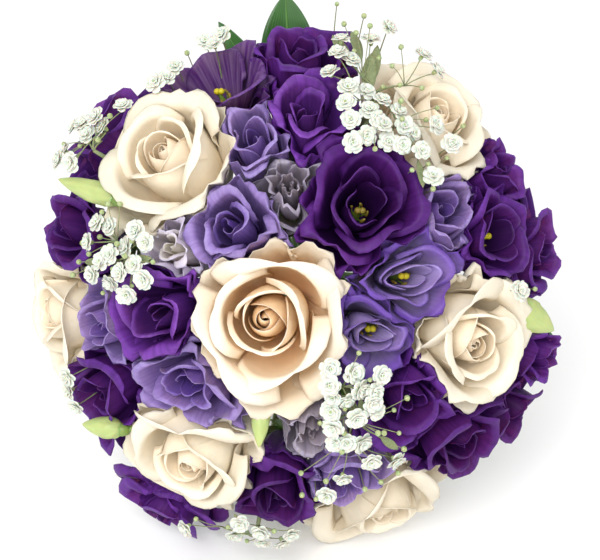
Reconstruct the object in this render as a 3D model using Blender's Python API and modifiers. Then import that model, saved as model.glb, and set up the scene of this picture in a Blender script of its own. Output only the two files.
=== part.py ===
"""A round bridal bouquet, hand tied, lying on its side on a table.

Every stem has its own place in the bundle under the ribbon and fans out to a bloom on the domed head.
The bouquet is modelled about its own axis: X is to the right and Y is up as one looks into the blooms,
and Z points out of the blooms at the viewer. One empty then lays it down, so that it rests on the petals
of its lower rim and on its cut stems. Lengths in this file are millimetres, and MM turns them into metres.
"""

import math
import random
from collections import namedtuple

import bmesh
import bpy
import numpy as np

MM = 0.001

# The dome, its lean on the table and the handle
FACE_RADIUS = 148.0  # from the dome's centre to the face of a bloom
CAP_RADIUS = 153.5  # no petal stands further out than this
LEAN = 28.0  # degrees that the axis rises from the table towards the blooms
HEAD_HEIGHT = 99.0  # the dome's centre over the table
TIE_LEVEL = -40.0  # where the tie holds the stems, along the axis from the dome's centre
RIBBON_LEVELS = (-136.0, -46.0)
TAIL_FLARE = 1.10  # how far the cut ends spread below the ribbon

# Clearances and wall thicknesses
GAP = 0.35  # between neighbours that touch
FULLNESS = 1.55  # how wide a bloom would spread without neighbours, against the width at which it is seen
PETAL_THICKNESS = 0.8
LEAF_THICKNESS = 0.9
RIBBON_THICKNESS = 1.2
TIE_THICKNESS = 2.2
FLOOR_TRIM = 1.2  # how far low petals would reach under the table before they are pressed flat

# Stem radii
ROSE_STEM = 2.7
LISIANTHUS_STEM = 2.5
BRANCH = 1.5
CALYX = 4.0
SPRAY_STEM = 1.9
TWIG = 0.55
FLORET = 4.3
HUB = 3.2
SPRAY_ROOM = 10.0  # the gap between blooms through which the stem of a spray comes up
CALYX_LENGTH = 7.0

# The stems' places in the bundle
FORK_LEVEL = -22.0  # where stems have come together, and the branches of one plant meet
BUNDLE_SPREAD = 17.0  # how widely the stems are laid out before they are pressed together
STEM_GAP = 0.63
PRESSING_ROUNDS = 900
PULL_IN = 0.998  # in each round every stem moves in to this share of its distance from the axis
PUSH_APART = 0.4  # and stems that are too close move apart by this share of what is missing

# Sprays of gypsophila
SPRAY_BEND = 108.0  # from the dome's centre to where the stem of a spray begins to bend to the handle
HUB_LIFT = 0.5  # how far the hub of a spray stands over the highest petals
FLORET_STEP = 4.5  # how far every other floret stands over its neighbours
FLORET_SCATTER = 0.5
FLORET_CLEARANCE = 0.2  # between the lowest florets and the table

Head = namedtuple("Head", "name kind across up width lift plant")
Petal = namedtuple("Petal", "spin base bend tip spread lap roll ruffle waves phase")
Place = namedtuple("Place", "out right up reach half_angle")
Sprig = namedtuple("Sprig", "name azimuth polar reach")

# Each head as one sees it from the front: how far to the right of the axis and above it, its width,
# how far it stands out of the dome, and the plant whose stem carries it.
HEADS = [
    Head("rose_centre", "rose", -15, -23, 68, 4, "rose_centre"),
    Head("rose_upper_left", "rose", -66, 59, 63, 4, "rose_upper_left"),
    Head("rose_left", "rose", -127, -18, 56, 0, "rose_left"),
    Head("rose_lower_left", "rose", -56, -93, 64, 2, "rose_lower_left"),
    Head("rose_right", "rose", 86, -34, 56, 2, "rose_right"),
    Head("rose_upper_right", "rose", 70, 79, 62, -2, "rose_upper_right"),
    Head("rose_bottom", "rose", 45, -122, 63, -2, "rose_bottom"),
    Head("purple_top_left", "open", -43, 98, 44, 0, "top"),
    Head("purple_top", "double", -3, 111, 36, 0, "top"),
    Head("purple_upper", "double", 4, 76, 37, 0, "top"),
    Head("purple_heart", "open", 31, 33, 57, 3, "heart"),
    Head("purple_right_upper", "open", 97, 20, 40, 0, "right"),
    Head("purple_right_rim", "double", 123, 13, 42, -2, "right"),
    Head("purple_upper_right", "double", 101, 52, 36, -2, "right"),
    Head("purple_left", "double", -67, -18, 43, 2, "left"),
    Head("purple_lower_left", "double", -101, -59, 47, 0, "lower_left"),
    Head("purple_left_rim", "double", -119, 24, 51, 0, "left_rim"),
    Head("purple_bottom", "double", -12, -111, 42, 0, "bottom"),
    Head("purple_lower", "double", 54, -58, 39, 0, "lower_right"),
    Head("purple_lower_right", "double", 83, -86, 43, 0, "lower_right"),
    Head("purple_right_lower", "double", 111, -71, 38, -2, "lower_right"),
    Head("purple_right_small", "cup", 126, -42, 26, 2, "right"),
    Head("purple_far_left", "double", -104, 75, 47, -4, "top"),
    Head("purple_bottom_left", "double", -73, -125, 37, 7, "lower_left"),
    Head("lilac_upper", "cup", -21, 66, 33, 0, "lilac_upper"),
    Head("grey_upper", "wilted", -6, 42, 30, -3, "lilac_upper"),
    Head("lilac_centre_left", "double", -32, 23, 39, 0, "lilac_upper"),
    Head("lilac_small", "double", -60, 13, 26, -2, "lilac_upper"),
    Head("lilac_left", "cup", -99, -25, 30, -2, "left"),
    Head("lilac_lower_left", "double", -55, -53, 45, -1, "lower_left"),
    Head("lilac_right", "open", 52, -1, 44, 1, "heart"),
    Head("lilac_centre_right", "open", 34, -28, 37, 0, "heart"),
    Head("lilac_upper_right", "cup", 70, 31, 36, -1, "heart"),
    Head("lilac_lower", "cup", 20, -105, 32, -2, "bottom"),
    Head("grey_lower", "wilted", 6, -75, 28, -4, "bottom"),
    Head("gypsophila_upper_right", "spray", 36, 87, 48, 10, "gypsophila_upper_right"),
    Head("gypsophila_left", "spray", -81, 8, 37, 10, "gypsophila_left"),
    Head("gypsophila_lower_right", "spray", 26, -62, 41, 10, "gypsophila_lower_right"),
    Head("gypsophila_far_left", "spray", -101, 61, 27, 10, "gypsophila_far_left"),
    Head("gypsophila_bottom", "spray", -22, -131, 22, 10, "gypsophila_bottom"),
    Head("bud_left", "bud", -109, 44, 20, 0, "left_rim"),
    Head("bud_lower_left", "bud", -109, -82, 20, 0, "lower_left"),
    Head("bud_right", "bud", 124, -20, 22, 0, "right"),
    Head("bud_lower", "bud", -18, -78, 16, 0, "bottom"),
]

# Each sprig of leaves behind the rim: its direction round the axis and away from it, in degrees,
# and how far from the dome's centre it ends
SPRIGS = [
    Sprig("ruscus_top", 93, 67, 92),
    Sprig("ruscus_right", -13, 86, 86),
]

SPRAY_FLORETS = {
    "gypsophila_upper_right": 12,
    "gypsophila_left": 11,
    "gypsophila_lower_right": 12,
    "gypsophila_far_left": 5,
    "gypsophila_bottom": 5,
}

# How wide the rim of each kind of head is, against its nominal width
RIM_SHARE = {"rose": 1.12, "open": 1.22, "double": 1.17, "cup": 0.97, "wilted": 0.8, "bud": 1.0, "spray": 1.0}

NEIGHBOURHOOD = math.radians(75)  # heads further apart on the dome don't meet

# How much room each kind takes from its neighbours, against its width
SHARE = {"rose": 1.2, "open": 1.05, "double": 1.0, "cup": 1.0, "wilted": 1.0, "bud": 0.9}
OUTER_RING = 0.74  # heads that lean out further than this cosine spread no wider outwards than they are seen

# How deep each kind of head sits behind its own face, and the stem under it
DEPTH = {"rose": 50.0, "double": 42.0, "open": 42.0, "cup": 44.0, "wilted": 42.0, "bud": 34.0, "spray": 0.0}
STEM_RADIUS = {"rose": ROSE_STEM, "spray": SPRAY_STEM}

COLOURS = {
    "rose": ((0.93, 0.80, 0.62), 0.55),
    "purple": ((0.10, 0.015, 0.20), 0.5),
    "lilac": ((0.36, 0.24, 0.62), 0.5),
    "grey": ((0.36, 0.31, 0.40), 0.6),
    "gypsophila": ((0.86, 0.90, 0.82), 0.6),
    "green": ((0.16, 0.28, 0.08), 0.55),
    "leaf": ((0.04, 0.14, 0.02), 0.4),
    "ribbon": ((0.86, 0.82, 0.72), 0.35),
    "twine": ((0.45, 0.34, 0.18), 0.85),
}


def unit(vector):
    return vector / np.linalg.norm(vector)


def place_of(head):
    """The head's directions on the dome, its distance from the dome's centre and its angular size."""
    reach = FACE_RADIUS + head.lift
    along = math.sqrt(max(0.0, reach**2 - head.across**2 - head.up**2))
    out = unit(np.array([head.across, head.up, along]))
    right = unit(np.cross((0.0, 1.0, 0.0), out))
    room = SPRAY_ROOM if head.kind == "spray" else SHARE[head.kind] * head.width
    return Place(out, right, np.cross(out, right), reach, math.atan(room / 2 / reach))


PLACES = {head.name: place_of(head) for head in HEADS}


def walls_of(head):
    """The planes through the dome's centre that part this head from the others, as inward normals."""
    own = PLACES[head.name]
    walls = []
    for other in HEADS:
        if other is head:
            continue
        place = PLACES[other.name]
        apart = math.acos(np.clip(own.out @ place.out, -1, 1))
        if apart > NEIGHBOURHOOD:
            continue
        share = apart * own.half_angle / (own.half_angle + place.half_angle)
        across = unit(place.out - (own.out @ place.out) * own.out)
        walls.append(math.sin(share) * own.out - math.cos(share) * across)
    if own.out[2] < OUTER_RING:
        away = unit(own.out[2] * own.out - np.array([0.0, 0.0, 1.0]))
        walls.append(math.sin(own.half_angle) * own.out - math.cos(own.half_angle) * away)
    return np.array(walls)


WALLS = {head.name: walls_of(head) for head in HEADS}
TABLE_NORMAL = np.array([0.0, math.cos(math.radians(LEAN)), math.sin(math.radians(LEAN))])
BEND_FROM = 0.94  # the share of the room past which petals begin to bend clear
RIM_DROP = 12.0  # how far the rims of the outer petals lie under the face of a bloom
SQUARENESS = 16  # how closely a crowded bloom follows the corners of its cell
CROWDING = 9  # how abruptly a crowded bloom grows narrower than a free one
LAP = 0.11  # how much further out one side of a petal stands than its middle
OVERLAP = 1.07  # how much wider the petals of a full whorl are than their shares of it
PETAL_ROWS = (0.0, 0.4, 0.92, 1.0)  # how far along a petal its root, its two pairs of corners and its tip lie


def to_bouquet(place, x, y, height):
    """Points given about the head's own axis, as points of the bouquet."""
    return x[..., None] * place.right + y[..., None] * place.up + height[..., None] * place.out


def crowding(head, turn):
    """How narrow a bloom stays in each direction round its axis, because of its neighbours: 1 if free."""
    place = PLACES[head.name]
    side = np.cos(turn)[..., None] * place.right + np.sin(turn)[..., None] * place.up
    normals = WALLS[head.name]
    level = place.reach - RIM_DROP
    toward = np.maximum(-(side @ normals.T), 1e-4)
    closeness = toward / (level * (normals @ place.out) - GAP)
    room = (closeness**SQUARENESS).sum(axis=-1) ** (-1 / SQUARENESS)
    wanted = FULLNESS * RIM_SHARE[head.kind] * (1 + LAP) * head.width / 2
    return (1 + (wanted / room) ** CROWDING) ** (-1 / CROWDING)


def bend_clear(head, x, y, height, thickness):
    """Bends points towards the head's axis where they would leave its cell, the dome or the table top."""
    place = PLACES[head.name]
    margin = GAP / 2 + thickness / 2
    side = x[..., None] * place.right + y[..., None] * place.up
    normals = np.vstack([WALLS[head.name], TABLE_NORMAL])
    limits = np.append(np.full(len(normals) - 1, margin), -HEAD_HEIGHT - FLOOR_TRIM)
    room = height[..., None] * (normals @ place.out) - limits
    outward = -(side @ normals.T)
    use = np.max(np.where(outward > 1e-6, outward / np.maximum(room, 1e-3), 0.0), axis=-1)
    span = 1 - BEND_FROM
    bent = np.where(use > BEND_FROM, BEND_FROM + span * np.tanh((use - BEND_FROM) / span), use)
    keep = np.where(use > 1e-6, bent / np.maximum(use, 1e-6), 1.0)
    points = to_bouquet(place, x * keep, y * keep, height)
    distance = np.linalg.norm(points, axis=-1, keepdims=True)
    return points * np.minimum(1.0, (CAP_RADIUS - thickness) / distance)


def petal_points(head, petal, along, across):
    """The middle surface of one petal: along runs from its root to its rim, across from side to side.

    One side of the petal stands a little further out than the other, so that petals lap like roof tiles.
    """
    place = PLACES[head.name]
    s = along
    weights = (1 - s) ** 2, 2 * s * (1 - s), s**2
    radius, height = (
        sum(weight * point[k] for weight, point in zip(weights, (petal.base, petal.bend, petal.tip)))
        for k in (0, 1)
    )
    rim = np.clip((s - 0.6) / 0.4, 0, 1) ** 2
    wave = petal.ruffle * (1 - 0.7 * across**2) * np.sin(petal.waves * np.pi * across + petal.phase)
    height = height - 0.5 * petal.roll * rim + wave * s**2
    turn = petal.spin + across * petal.spread * np.sin(np.pi / 2 * np.minimum(1.0, s / 0.55))
    lap = 1 + petal.lap * across * np.minimum(1.0, 5 * s)
    radius = (radius + petal.roll * rim) * crowding(head, turn) * lap
    foot = place.reach - DEPTH[head.kind]
    return bend_clear(head, radius * np.cos(turn), radius * np.sin(turn), foot + height, PETAL_THICKNESS)


def whorl(rng, count, first, base, bend, tip, roll=0.0, ruffle=1.0):
    """A ring of petals, each lapping over the next and none quite like another."""
    petals = []
    spread = (OVERLAP if count > 3 else 1.0) * math.pi / count
    for k in range(count):
        spin = first + 2 * math.pi * k / count + rng.uniform(-0.04, 0.04)
        size = rng.uniform(0.98, 1.02)
        drop = rng.uniform(-0.8, 0.8)
        petals.append(
            Petal(
                spin,
                base,
                (bend[0] * size, bend[1]),
                (tip[0] * size, tip[1] + drop),
                spread,
                LAP,
                roll,
                ruffle * rng.uniform(0.8, 1.2),
                rng.uniform(0.6, 1.4),
                rng.uniform(0, 2 * math.pi),
            )
        )
    return petals


def flower(head):
    """A bloom's core, as its sides and its profile, and its petals from the outer whorl to the inner one.

    The whorls are turned so that each petal comes out of the middle of one side of the core.
    """
    rng = random.Random(head.name)
    w = FULLNESS * head.width / 2
    turn = rng.uniform(0, 2 * math.pi)
    if head.kind == "rose":
        sides = 5
        core = [(0, 0), (0.36 * w, 10), (0.30 * w, 22), (0, 37)]
        petals = (
            whorl(rng, 5, turn, (0.11 * w, 5.5), (0.98 * w, 8), (1.04 * w, 42), 4, 1.2)
            + whorl(rng, 4, turn - math.radians(27), (0.20 * w, 14), (0.86 * w, 20), (0.68 * w, 45), 2, 1.0)
            + whorl(rng, 3, turn, (0.12 * w, 26), (0.54 * w, 32), (0.36 * w, 49), 0, 0.6)
        )
    elif head.kind == "open":
        sides = 5
        core = [(0, 0), (0.30 * w, 10), (1.2, 19), (2.4, 31), (0, 34)]
        petals = (
            whorl(rng, 5, turn, (0.12 * w, 7), (0.80 * w, 6), (1.12 * w, 37), 4, 1.8)
            + whorl(rng, 3, turn, (0.10 * w, 12.5), (0.70 * w, 17), (0.62 * w, 39), 1, 1.2)
        )
    elif head.kind == "double" and head.width > 41:
        sides = 5
        core = [(0, 0), (0.30 * w, 10), (0, 20)]
        petals = (
            whorl(rng, 5, turn, (0.12 * w, 7), (0.86 * w, 6), (1.08 * w, 37), 4, 1.8)
            + whorl(rng, 3, turn, (0.10 * w, 12.5), (0.74 * w, 17), (0.52 * w, 40), 1, 1.3)
        )
    else:
        sides = 4
        core = [(0, 0), (0.30 * w, 10), (0, 20)]
        bend, tip, inner_bend, inner_tip, roll, ruffle = {
            "double": ((0.86 * w, 6), (1.08 * w, 37), (0.72 * w, 17), (0.50 * w, 40), 4, 1.8),
            "cup": ((0.96 * w, 7), (0.90 * w, 41), (0.64 * w, 18), (0.36 * w, 43), 2, 1.4),
            "wilted": ((0.90 * w, 8), (0.78 * w, 38), (0.56 * w, 18), (0.28 * w, 42), -2, 2.4),
        }[head.kind]
        petals = whorl(rng, 4, turn, (0.12 * w, 7), bend, tip, roll, ruffle) + whorl(
            rng, 3, turn, (0.10 * w, 12.5), inner_bend, inner_tip, 0, 0.7 * ruffle
        )
    return sides, turn, core, petals


def link(mesh, name, collection):
    obj = bpy.data.objects.new(name, mesh)
    collection.objects.link(obj)
    return obj


def mesh_from(bm, name):
    bmesh.ops.recalc_face_normals(bm, faces=bm.faces)
    mesh = bpy.data.meshes.new(name)
    bm.to_mesh(mesh)
    bm.free()
    return mesh


def thicken(obj, thickness):
    solidify = obj.modifiers.new("thickness", "SOLIDIFY")
    solidify.thickness = thickness * MM
    solidify.offset = 0


def petal_blade(points_at, thickness, name, collection):
    """A thin curved petal: a hexagon laid out by points_at(along, across), with one corner at its root."""
    bm = bmesh.new()
    bmesh.ops.create_circle(bm, segments=6, radius=1, cap_ends=True)
    corners = sorted(bm.verts, key=lambda vert: vert.co.y)
    flat = np.array([vert.co[:] for vert in corners])
    along = (flat[:, 1] - flat[:, 1].min()) / (flat[:, 1].max() - flat[:, 1].min())
    across = flat[:, 0] / np.abs(flat[:, 0]).max()
    root, low_a, low_b, high_a, high_b, top = corners
    for pair in ((low_a, low_b), (low_a, top), (low_b, top)):
        bmesh.ops.connect_verts(bm, verts=pair)
    along = np.interp(along, (0, 0.25, 0.75, 1), PETAL_ROWS)
    for vert, point in zip(corners, points_at(along, across) * MM):
        vert.co = point
    obj = link(mesh_from(bm, name), name, collection)
    thicken(obj, thickness)
    return obj


def blade(points_at, columns, rows, thickness, name, collection):
    """A thin curved blade: a grid laid out by points_at(along, across), pointed at its root."""
    bm = bmesh.new()
    bmesh.ops.create_grid(bm, x_segments=columns - 1, y_segments=rows, size=1)
    grid = np.array([v.co[:] for v in bm.verts])
    placed = points_at((grid[:, 1] + 1) / 2, grid[:, 0]) * MM
    for vert, point in zip(bm.verts, placed):
        vert.co = point
    bmesh.ops.remove_doubles(bm, verts=bm.verts, dist=1e-5)
    bmesh.ops.triangulate(bm, faces=bm.faces)
    obj = link(mesh_from(bm, name), name, collection)
    thicken(obj, thickness)
    return obj


def star(place, points, height, outer, inner, drop, depth, name, collection):
    """A closed star of sepals or tiny petals about a head's axis, with its rim below its middle."""
    bm = bmesh.new()
    bmesh.ops.create_uvsphere(bm, u_segments=2 * points, v_segments=2, radius=1)
    for vert in bm.verts:
        x, y, z = vert.co
        rim = math.hypot(x, y)
        lobe = outer if round(math.atan2(y, x) / math.pi * points) % 2 == 0 else inner
        level = height if z > 0.5 else height - depth if z < -0.5 else height - drop
        vert.co = to_bouquet(place, np.array(x * rim * lobe), np.array(y * rim * lobe), np.array(level)) * MM
    return link(mesh_from(bm, name), name, collection)


def pod(place, profile, sides, turn, name, collection):
    """A closed body turned about a head's axis, through the (radius, height) pairs of its profile.

    The middle of one of its sides faces the direction of turn.
    """
    bm = bmesh.new()
    bmesh.ops.create_uvsphere(bm, u_segments=sides, v_segments=len(profile) - 1, radius=1)
    for vert in bm.verts:
        x, y, z = vert.co
        ring = round((1 - math.acos(np.clip(z, -1, 1)) / math.pi) * (len(profile) - 1))
        radius, level = profile[ring]
        angle = math.atan2(y, x) + turn - math.pi / sides
        along, aside = radius * math.cos(angle), radius * math.sin(angle)
        vert.co = to_bouquet(place, np.array(along), np.array(aside), np.array(level)) * MM
    return link(mesh_from(bm, name), name, collection)


def tube(route, radii, resolution, name, collection):
    """A closed round stem along a route of points, as a mesh made from a bevelled curve."""
    curve = bpy.data.curves.new(name, "CURVE")
    curve.dimensions = "3D"
    curve.bevel_depth = MM
    curve.bevel_resolution = resolution
    curve.use_fill_caps = True
    spline = curve.splines.new("POLY")
    spline.points.add(len(route) - 1)
    for point, position, radius in zip(spline.points, route, radii):
        point.co = (*(position * MM), 1)
        point.radius = radius
    guide = link(curve, name, collection)
    graph = bpy.context.evaluated_depsgraph_get()
    mesh = bpy.data.meshes.new_from_object(guide.evaluated_get(graph))
    bpy.data.objects.remove(guide)
    bm = bmesh.new()
    bm.from_mesh(mesh)
    bmesh.ops.remove_doubles(bm, verts=bm.verts, dist=1e-6)
    return link(mesh_from(bm, name), name, collection)


def fuse(name, pieces, collection, colour, keep_off_table=True):
    """Joins the pieces of one node in one closed solid, pressed flat where it meets the table."""
    whole = pieces[0]
    whole.name = name
    if len(pieces) > 1:
        others = bpy.data.collections.new(name + "_pieces")
        bpy.context.scene.collection.children.link(others)
        for piece in pieces[1:]:
            for holder in list(piece.users_collection):
                holder.objects.unlink(piece)
            others.objects.link(piece)
        union = whole.modifiers.new("union", "BOOLEAN")
        union.operation = "UNION"
        union.operand_type = "COLLECTION"
        union.collection = others
        union.solver = SOLVER
    if keep_off_table:
        trim = whole.modifiers.new("table", "BOOLEAN")
        trim.operation = "DIFFERENCE"
        trim.object = TABLE
        trim.solver = SOLVER
    whole.parent = AXIS
    for piece in pieces[1:]:
        piece.parent = AXIS
    graph = bpy.context.evaluated_depsgraph_get()
    mesh = bpy.data.meshes.new_from_object(whole.evaluated_get(graph))
    whole.modifiers.clear()
    whole.data = mesh
    if len(pieces) > 1:
        for piece in pieces[1:]:
            bpy.data.objects.remove(piece)
        bpy.data.collections.remove(others)
    mesh.name = name
    mesh.materials.clear()
    mesh.materials.append(MATERIALS[colour])
    mesh.shade_smooth()
    mesh.set_sharp_from_angle(angle=math.radians(50))
    return whole


def finish_for(name):
    """A plain material of the right colour and gloss."""
    colour, roughness = COLOURS[name]
    material = bpy.data.materials.new(name)
    material.use_nodes = True
    shader = material.node_tree.nodes["Principled BSDF"]
    shader.inputs["Base Color"].default_value = (*colour, 1)
    shader.inputs["Roughness"].default_value = roughness
    shader.inputs["Metallic"].default_value = 0
    return material


def bloom(head, collection):
    """One open flower: its petals stand in whorls out of a small core."""
    place = PLACES[head.name]
    foot = place.reach - DEPTH[head.kind]
    sides, turn, core, petals = flower(head)
    profile = [(radius, foot + level) for radius, level in core]
    pieces = [pod(place, profile, sides, turn, head.name, collection)]
    for k, petal in enumerate(petals):

        def points_at(along, across, petal=petal):
            return petal_points(head, petal, along, across)

        pieces.append(petal_blade(points_at, PETAL_THICKNESS, f"{head.name}_petal_{k}", collection))
    colour = head.name.split("_")[0]
    return fuse(head.name, pieces, collection, colour)


def stem_radius(head):
    return STEM_RADIUS.get(head.kind, LISIANTHUS_STEM)


def plants():
    """The heads of each plant, under the plant's name."""
    found = {}
    for head in HEADS:
        found.setdefault(head.plant, []).append(head)
    return found


PLANTS = plants()


def sprig_direction(sprig):
    azimuth, polar = math.radians(sprig.azimuth), math.radians(sprig.polar)
    flat = math.sin(polar)
    return np.array([flat * math.cos(azimuth), flat * math.sin(azimuth), math.cos(polar)])


def pack_stems():
    """Where each plant's stem stands in the bundle, spread as on the dome and then pressed together.

    Also how wide the bundle is, and how far its lowest stem reaches down at the cut ends.
    """
    radii = {name: stem_radius(heads[0]) for name, heads in PLANTS.items()}
    towards = {name: unit(sum(PLACES[head.name].out for head in heads)) for name, heads in PLANTS.items()}
    for sprig in SPRIGS:
        radii[sprig.name] = SPRAY_STEM
        towards[sprig.name] = sprig_direction(sprig)
    names = list(radii)
    radii = np.array([radii[name] for name in names])
    outs = np.array([towards[name] for name in names])
    flat = outs[:, :2] / np.linalg.norm(outs[:, :2], axis=1, keepdims=True)
    spots = BUNDLE_SPREAD * np.sqrt(1 - outs[:, 2:]) * flat
    need = radii[:, None] + radii[None, :] + STEM_GAP
    for _ in range(PRESSING_ROUNDS):
        apart = spots[:, None] - spots[None, :]
        distance = np.linalg.norm(apart, axis=-1) + np.eye(len(names)) * 1e3
        push = np.maximum(0.0, need - distance) / distance
        spots = spots * PULL_IN + PUSH_APART * (apart * push[..., None]).sum(axis=1)
    lowest = float((TAIL_FLARE * spots[:, 1] - radii).min())
    return dict(zip(names, spots)), float((np.linalg.norm(spots, axis=1) + radii).max()), lowest


SLOTS, BUNDLE_RADIUS, LOWEST = pack_stems()
TAIL_LEVEL = -(HEAD_HEIGHT + LOWEST * math.cos(math.radians(LEAN))) / math.sin(math.radians(LEAN))


def fan_route(head, slot, start, count):
    """From behind a head down to its place at the top of the handle, in one even bend."""
    first = PLACES[head.name].out * start
    second = 0.5 * first
    last = np.array([slot[0], slot[1], FORK_LEVEL])
    steps = np.linspace(0, 1, count)[:, None]
    return (1 - steps) ** 2 * first + 2 * steps * (1 - steps) * second + steps**2 * last


def handle_route(slot, top=None):
    """Straight through the tie and the ribbon, and a little apart below it."""
    levels = [(RIBBON_LEVELS[0], 1.0), (TAIL_LEVEL, TAIL_FLARE)]
    if top is not None:
        levels.insert(0, (top, 1.0))
    return np.array([[slot[0] * flare, slot[1] * flare, level] for level, flare in levels])


def calyx(head, collection):
    """The green cup and its sepals under a rose."""
    place = PLACES[head.name]
    top = place.reach - DEPTH[head.kind] - GAP
    return star(place, 5, top, 9.0, 4.0, -2.0, CALYX_LENGTH, head.name + "_calyx", collection)


def bud(head, collection):
    """A closed bud, pointed, and as plump as its neighbours allow."""
    place = PLACES[head.name]
    foot = place.reach - DEPTH[head.kind]
    plump = head.width / 2 * float(crowding(head, np.linspace(0, 2 * np.pi, 12)).min())
    profile = [(0, foot - 2), (0.46 * plump, foot + 3), (0.62 * plump, foot + 14), (0, foot + 36)]
    return pod(place, profile, 5, 0, head.name, collection)


def stem(plant, collection):
    """One plant's stem with its branches, the calyx under each bloom, and its buds."""
    slot = SLOTS[plant]
    heads = PLANTS[plant]
    main = stem_radius(heads[0])
    pieces = []
    if len(heads) == 1:
        head = heads[0]
        start = PLACES[head.name].reach - DEPTH[head.kind] - GAP - 3
        route = np.vstack([fan_route(head, slot, start, 5), handle_route(slot)])
        pieces.append(tube(route, [main] * len(route), 1, plant + "_stem", collection))
        pieces.append(calyx(head, collection))
    else:
        handle = handle_route(slot, FORK_LEVEL + 2)
        pieces.append(tube(handle, [main * 0.94, main, main], 1, plant + "_main", collection))
        for head in heads:
            start = PLACES[head.name].reach - DEPTH[head.kind] - (0 if head.kind == "bud" else GAP)
            route = fan_route(head, slot, start, 4)
            if head.kind == "bud":
                pieces.append(bud(head, collection))
            else:
                route = np.vstack([route[0], route[0] - CALYX_LENGTH * PLACES[head.name].out, route[1:]])
            radii = [BRANCH if head.kind == "bud" else CALYX] + [BRANCH] * (len(route) - 1)
            pieces.append(tube(route, radii, 0, head.name + "_branch", collection))
    return fuse("stem_" + plant, pieces, collection, "green")


def floret_spots(head):
    """Where the tiny flowers of a spray sit: evenly over its share of the dome, some higher than others."""
    rng = random.Random(head.name)
    place = PLACES[head.name]
    count = SPRAY_FLORETS[head.name]
    spots = []
    for k in range(count):
        turn = k * math.pi * (3 - math.sqrt(5))
        reach = head.width / 2 * math.sqrt((k + 0.4) / count)
        aside = math.cos(turn) * place.right + math.sin(turn) * place.up
        level = place.reach + rng.uniform(-FLORET_SCATTER, FLORET_SCATTER) + FLORET_STEP * (k % 2)
        spot = level * place.out + reach * aside
        sunk = FLORET + FLORET_CLEARANCE - HEAD_HEIGHT - spot @ TABLE_NORMAL
        spots.append(spot + max(0.0, sunk) * TABLE_NORMAL)
    return spots


def floret_on_twig(top, hub, name, collection):
    """A ruffled floret, drawn down into a thin twig that ends inside the hub."""
    out = unit(unit(top - hub) + 2 * unit(hub))
    right = unit(np.cross(out, (0.3, 0.9, 0.31)))
    up = np.cross(out, right)
    rings = [(top + 1.6 * out, 0), (top, FLORET), (top - 2.4 * out, TWIG), (hub + 0.1 * unit(top - hub), 0)]
    bm = bmesh.new()
    bmesh.ops.create_uvsphere(bm, u_segments=5, v_segments=len(rings) - 1, radius=1)
    for vert in bm.verts:
        x, y, z = vert.co
        centre, radius = rings[round(math.acos(np.clip(z, -1, 1)) / math.pi * (len(rings) - 1))]
        turn = math.atan2(y, x)
        vert.co = (centre + radius * (math.cos(turn) * right + math.sin(turn) * up)) * MM
    return link(mesh_from(bm, name), name, collection)


def spray(head, collection):
    """A spray of gypsophila: one stem that ends in a hub, and twigs that each carry a white floret."""
    place = PLACES[head.name]
    base = CAP_RADIUS + HUB_LIFT
    hub = place.out * base
    slot = SLOTS[head.plant]
    fan = fan_route(head, slot, SPRAY_BEND, 4)
    route = np.vstack([hub, fan, handle_route(slot)])
    profile = [(0, base - HUB), (HUB, base), (0, base + HUB)]
    pieces = [
        pod(place, profile, 6, 0, head.name + "_hub", collection),
        tube(route, [SPRAY_STEM] * len(route), 1, head.name + "_stem", collection),
    ]
    for k, top in enumerate(floret_spots(head)):
        pieces.append(floret_on_twig(top, hub, f"{head.name}_floret_{k}", collection))
    return fuse(head.name, pieces, collection, "gypsophila")


def leaf_points(root, tip, normal, half_width, droop):
    """A ruscus leaf: pointed at both ends, widest below its middle, and keeled along its rib."""
    length = np.linalg.norm(tip - root)
    along_axis = (tip - root) / length
    side = unit(np.cross(along_axis, normal))

    def points_at(along, across):
        width = half_width * np.maximum(np.sin(np.pi * along**0.85), 0) ** 0.9
        keel = 0.18 * width * np.abs(across) - droop * along**2
        return (
            root
            + (along * length)[:, None] * along_axis
            + (across * width)[:, None] * side
            + keel[:, None] * normal
        )

    return points_at


# A sprig's leaves: how far below its tip each is rooted, its length, half its width and its turn to the side
RUSCUS_LEAVES = [(2, 62.0, 13.0, 0.0), (9, 66.0, 9.0, 24.0), (15, 46.0, 10.0, -36.0)]


def ruscus(sprig, collection):
    """A leafy sprig behind the rim, its leaves standing out past the blooms."""
    slot = SLOTS[sprig.name]
    outward = sprig_direction(sprig)
    sideways = unit(np.cross((0.0, 0.0, 1.0), outward))
    tip = outward * sprig.reach
    neck = outward * (sprig.reach - 20)
    bend = 0.45 * neck - np.array([0, 0, 15.0])
    end = np.array([*slot, FORK_LEVEL])
    steps = np.linspace(0, 1, 5)[:, None]
    fan = (1 - steps) ** 2 * neck + 2 * steps * (1 - steps) * bend + steps**2 * end
    route = np.vstack([tip, fan, handle_route(slot)])
    pieces = [tube(route, [1.2, 1.5] + [SPRAY_STEM] * (len(route) - 2), 0, sprig.name + "_stem", collection)]
    for k, (below, length, half_width, turn) in enumerate(RUSCUS_LEAVES):
        angle = math.radians(turn)
        direction = math.cos(angle) * outward + math.sin(angle) * sideways
        root = outward * (sprig.reach - below)
        shape = leaf_points(root, root + direction * length, unit(np.cross(outward, sideways)), half_width, 5)
        pieces.append(blade(shape, 3, 3, LEAF_THICKNESS, f"{sprig.name}_leaf_{k}", collection))
    return fuse(sprig.name, pieces, collection, "leaf")


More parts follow.
